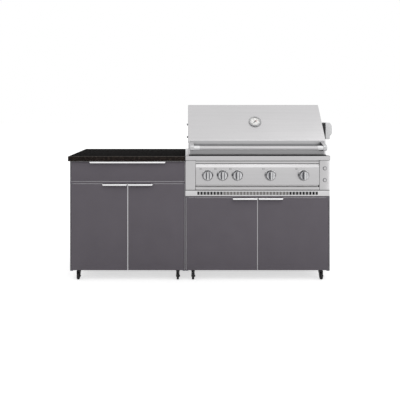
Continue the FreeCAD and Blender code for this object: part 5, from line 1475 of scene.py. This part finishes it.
    def shade_lines(self) -> None:
        """Lays thin grey strips of painted shade in the front's seams, as shadow lines, and a black strip of painted
        shade on the deck under the hood's front edge.
        """
        front_low, front_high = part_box("grill_front")
        panel_low, panel_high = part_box("control_panel")
        hood_low, hood_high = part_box("hood")
        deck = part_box("grill_deck")[1].z
        header = front_low.y + self.header_mm * MM
        seam = panel_high.z - self.seam_drop_mm * MM
        rim = front_high.z
        apron = front_low.z + self.apron_mm * MM
        thick = self.shade_strip_mm / 2 * MM
        rim_foot, rim_top = (rim - drop * MM for drop in self.rim_shade_mm)
        end_foot = rim - self.end_shade_mm * MM
        apron_foot, apron_top = apron - self.apron_shade_mm[0] * MM, apron + self.apron_shade_mm[1] * MM
        # Each strip is a thin grey line of painted shade in a seam.
        for name, left, right, face, foot, top in (
            ("rim_shade_strip", panel_low.x, panel_high.x, header, rim_foot, rim_top),
            ("left_rim_shade_strip", front_low.x, panel_low.x, front_low.y, end_foot, rim),
            ("right_rim_shade_strip", panel_high.x, front_high.x, front_low.y, end_foot, rim),
            ("panel_shade_strip", panel_low.x, panel_high.x, header, seam, seam + self.panel_shade_mm * MM),
            ("apron_shade_strip", front_low.x, front_high.x, front_low.y, apron_foot, apron_top),
        ):
            low = Vector((left, face - thick, foot))
            self.strip(name, low, Vector((right, face + thick, top)), self.finishes.shade_strip).fit("island", "black_rubber")
        # The black strip on the deck is painted shade under the hood's front edge.
        inset = self.hood_shade_inset_mm * MM
        low = Vector((hood_low.x + inset, hood_low.y - self.hood_shade_front_mm * MM, deck))
        high = Vector((hood_high.x - inset, hood_low.y + self.hood_shade_back_mm * MM, deck + self.hood_shade_mm * MM))
        self.strip("hood_shade_strip", low, high, self.finishes.deep_shade).fit("island", "black_rubber")

    def strip(self, name: str, low: Vector, high: Vector, finish: bpy.types.Material) -> Workpiece:
        """Makes a thin strip with rounded edges between two corners."""
        return Workpiece.block(name, low, high).ease(self.strip_edge_mm * MM, 2).coat(finish)

    def brackets(self) -> None:
        """Dresses the handle's arms, whose inner sides are painted dark shade."""
        middle = middle_of("handle_brackets").x
        work = Workpiece.welded("handle_brackets", "cast_brackets").ease(self.bracket_edge_mm * MM, 3)
        work.coat(self.finishes.cast)
        # The arms' inner sides are painted dark as painted shade.
        work.paint(lambda spot, normal: abs(normal.x) > STRAIGHT and normal.x * (spot.x - middle) < 0,
                   self.finishes.dark_shade)
        work.stand_in("polished_steel", "handle_brackets")

    def handle(self) -> None:
        """Turns the handle's tube and the sleeves at its ends."""
        low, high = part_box("hood_handle")
        middle = (low + high) / 2
        start = Vector((low.x, middle.y, middle.z))
        end = Vector((high.x, middle.y, middle.z))
        length = (high.x - low.x) / MM
        radius = self.handle_mm
        outer = radius + self.handle_wall_mm
        inner = radius - self.handle_wall_mm
        tube = [(inner, 0.0), (radius, 0.0), (radius, length), (inner, length)]
        bar = Workpiece.turned("handle_tube", start, RIGHT, tube, sides=64, ring=True).coat(self.finishes.tube)
        sleeve = [(radius, 0.0), (outer, 0.0), (outer, self.sleeve_mm - 1.6), (outer - 0.6, self.sleeve_mm),
                  (radius, self.sleeve_mm)]
        for name, spot, axis in (("sleeve_left", start, RIGHT), ("sleeve_right", end, LEFT)):
            ring = Workpiece.turned(name, spot, axis, sleeve, sides=64, ring=True)
            bar.join(ring.coat(self.finishes.buffed))
        bar.stand_in("stainless", "hood_handle")

    def thumb_screws(self) -> None:
        """Turns the two round-headed screws in the left cheek."""
        low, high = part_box("bracket_screws")
        head, neck = self.head_mm, self.neck_mm
        reach = (high.x - low.x) / MM
        start = Vector((high.x, (low.y + high.y) / 2, low.z + head * MM))
        profile = [(neck, 0.0), (neck, reach - head), (head - 0.8, reach - head), (head, reach - head + 0.8),
                   (head, reach - 2.6), (head - 0.8, reach - 1.0), (head - 2.4, reach - 0.2), (head - 4.0, reach),
                   (2.4, reach), (2.0, reach - 1.6)]
        lower = Workpiece.turned("thumb_screws", start, LEFT, profile, sides=40).coat(self.finishes.casting)
        upper = lower.copy("thumb_screw_upper", UP * (high.z - low.z - 2 * head * MM))
        lower.join(upper).stand_in("polished_steel", "bracket_screws")

    def motor_cover(self) -> None:
        """Dresses the motor's cover and cuts its air slots."""
        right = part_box("motor_cover")[1].x
        middle = middle_of("motor_cover")
        length, width = self.slot_length_mm / 2 * MM, self.slot_width_mm / 2 * MM
        slots = []
        for i in range(self.slots):
            level = middle.z + (i - (self.slots - 1) / 2) * self.slot_step_mm * MM
            low = Vector((right - self.slot_depth_mm * MM, middle.y - length, level - width))
            slots.append(Workpiece.block("slot", low, Vector((right + MM, middle.y + length, level + width))))
        work = Workpiece.welded("motor_cover", "moulded_cover").ease(self.cover_edge_mm * MM, 3)
        work.cut(slots[0].join(*slots[1:])).coat(self.finishes.motor_grey)
        work.stand_in("motor_grey", "motor_cover")


@dataclass
class Studio:
    """Pale floor, white surround, soft lamps and the camera."""

    floor_side: float = 60
    floor_colour: str = "E6E6E6"
    lens_mm: float = 43.33
    sensor_mm: float = 36.0
    shift: tuple[float, float] = (0.03425, -0.2325)
    place: tuple[float, float, float] = (-0.12995, -3.659, 1.2225)
    ambient: float = 0.72
    floor_lift: float = 0.62
    mirrored_lift: float = 0.3

    def build(self) -> None:
        """Sets up the whole studio."""
        self.floor()
        self.surround()
        self.lamps()
        self.camera()

    def floor(self) -> None:
        """Lays a pale floor that looks white to the eye and keeps the shadow."""
        deselect()
        bpy.ops.mesh.primitive_plane_add(size=self.floor_side, location=(0, 0, 0))
        floor = bpy.context.object
        floor.name = "studio_floor"
        material = bpy.data.materials.new("pale_floor")
        material.use_nodes = True
        tree = material.node_tree
        tree.nodes.clear()
        path = add_node(tree, "ShaderNodeLightPath")
        plain = add_node(tree, "ShaderNodeBsdfDiffuse", {"Color": linear(self.floor_colour)})
        seen = add_node(tree, "ShaderNodeMath", {0: path.outputs["Is Camera Ray"], 1: self.floor_lift},
                        operation="MULTIPLY")
        bent = add_node(tree, "ShaderNodeMath", {0: path.outputs["Is Glossy Ray"],
                                                 1: path.outputs["Is Transmission Ray"]}, operation="MAXIMUM")
        lift = add_node(tree, "ShaderNodeMath", {0: bent.outputs[0], 1: self.mirrored_lift, 2: seen.outputs[0]},
                        operation="MULTIPLY_ADD")
        glow = add_node(tree, "ShaderNodeEmission", {"Color": (1, 1, 1, 1), "Strength": lift.outputs[0]})
        both = add_node(tree, "ShaderNodeAddShader", {0: plain.outputs[0], 1: glow.outputs[0]})
        add_node(tree, "ShaderNodeOutputMaterial", {"Surface": both.outputs[0]})
        floor.data.materials.append(material)

    def surround(self) -> None:
        """Surrounds the island with white, softer for the light that it gives."""
        world = bpy.data.worlds.new("studio")
        bpy.context.scene.world = world
        world.use_nodes = True
        tree = world.node_tree
        tree.nodes.clear()
        path = add_node(tree, "ShaderNodeLightPath")
        first = add_node(tree, "ShaderNodeMath", {0: path.outputs["Is Camera Ray"],
                                                  1: path.outputs["Is Glossy Ray"]}, operation="MAXIMUM")
        seen = add_node(tree, "ShaderNodeMath", {0: first.outputs[0], 1: path.outputs["Is Transmission Ray"]},
                        operation="MAXIMUM")
        level = add_node(tree, "ShaderNodeMapRange", {"Value": seen.outputs[0], "To Min": self.ambient,
                                                      "To Max": 1.0})
        white = add_node(tree, "ShaderNodeBackground", {"Color": (1, 1, 1, 1), "Strength": level.outputs[0]})
        add_node(tree, "ShaderNodeOutputWorld", {"Surface": white.outputs[0]})

    def lamps(self) -> None:
        """Hangs a wide lamp over the front, a second one to its right and a low one at the side."""
        for name, place, aim, size, power in (
            ("overhead_lamp", (0.8, -2.0, 3.0), (0.35, 0.0, 0.9), (2.4, 0.9), 9.0),
            ("slope_lamp", (1.9, -0.95, 2.6), (0.8, 0.1, 1.0), (0.9, 0.9), 1.0),
            ("side_lamp", (2.7, -2.3, 0.6), (0.4, 0.0, 0.75), (0.9, 0.9), 3.2),
        ):
            lamp = bpy.data.lights.new(name, "AREA")
            lamp.shape = "RECTANGLE"
            lamp.size, lamp.size_y = size
            lamp.energy = power
            holder = bpy.data.objects.new(name, lamp)
            bpy.context.scene.collection.objects.link(holder)
            holder.location = place
            holder.rotation_euler = (Vector(aim) - Vector(place)).to_track_quat("-Z", "Y").to_euler()

    def camera(self) -> None:
        """Stands the camera level in front, with the photograph's framing."""
        data = bpy.data.cameras.new("front_camera")
        data.lens = self.lens_mm
        data.sensor_width = self.sensor_mm
        data.shift_x, data.shift_y = self.shift
        holder = bpy.data.objects.new("front_camera", data)
        bpy.context.scene.collection.objects.link(holder)
        holder.location = self.place
        holder.rotation_euler = (math.radians(90), 0, 0)
        bpy.context.scene.camera = holder


def write_sizes() -> None:
    """Updates the view layer."""
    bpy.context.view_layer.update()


def main() -> None:
    """Builds the dressed island and its studio."""
    logging.basicConfig(level=logging.INFO, format="%(name)s: %(message)s")
    bpy.context.scene.view_settings.view_transform = "Standard"
    finishes = Finishes()
    for assembly in (Cabinets(finishes), Casters(finishes), Controls(finishes), Dial(finishes), Grill(finishes)):
        assembly.build()
    Studio().build()
    write_sizes()


if __name__ == "__main__":
    main()
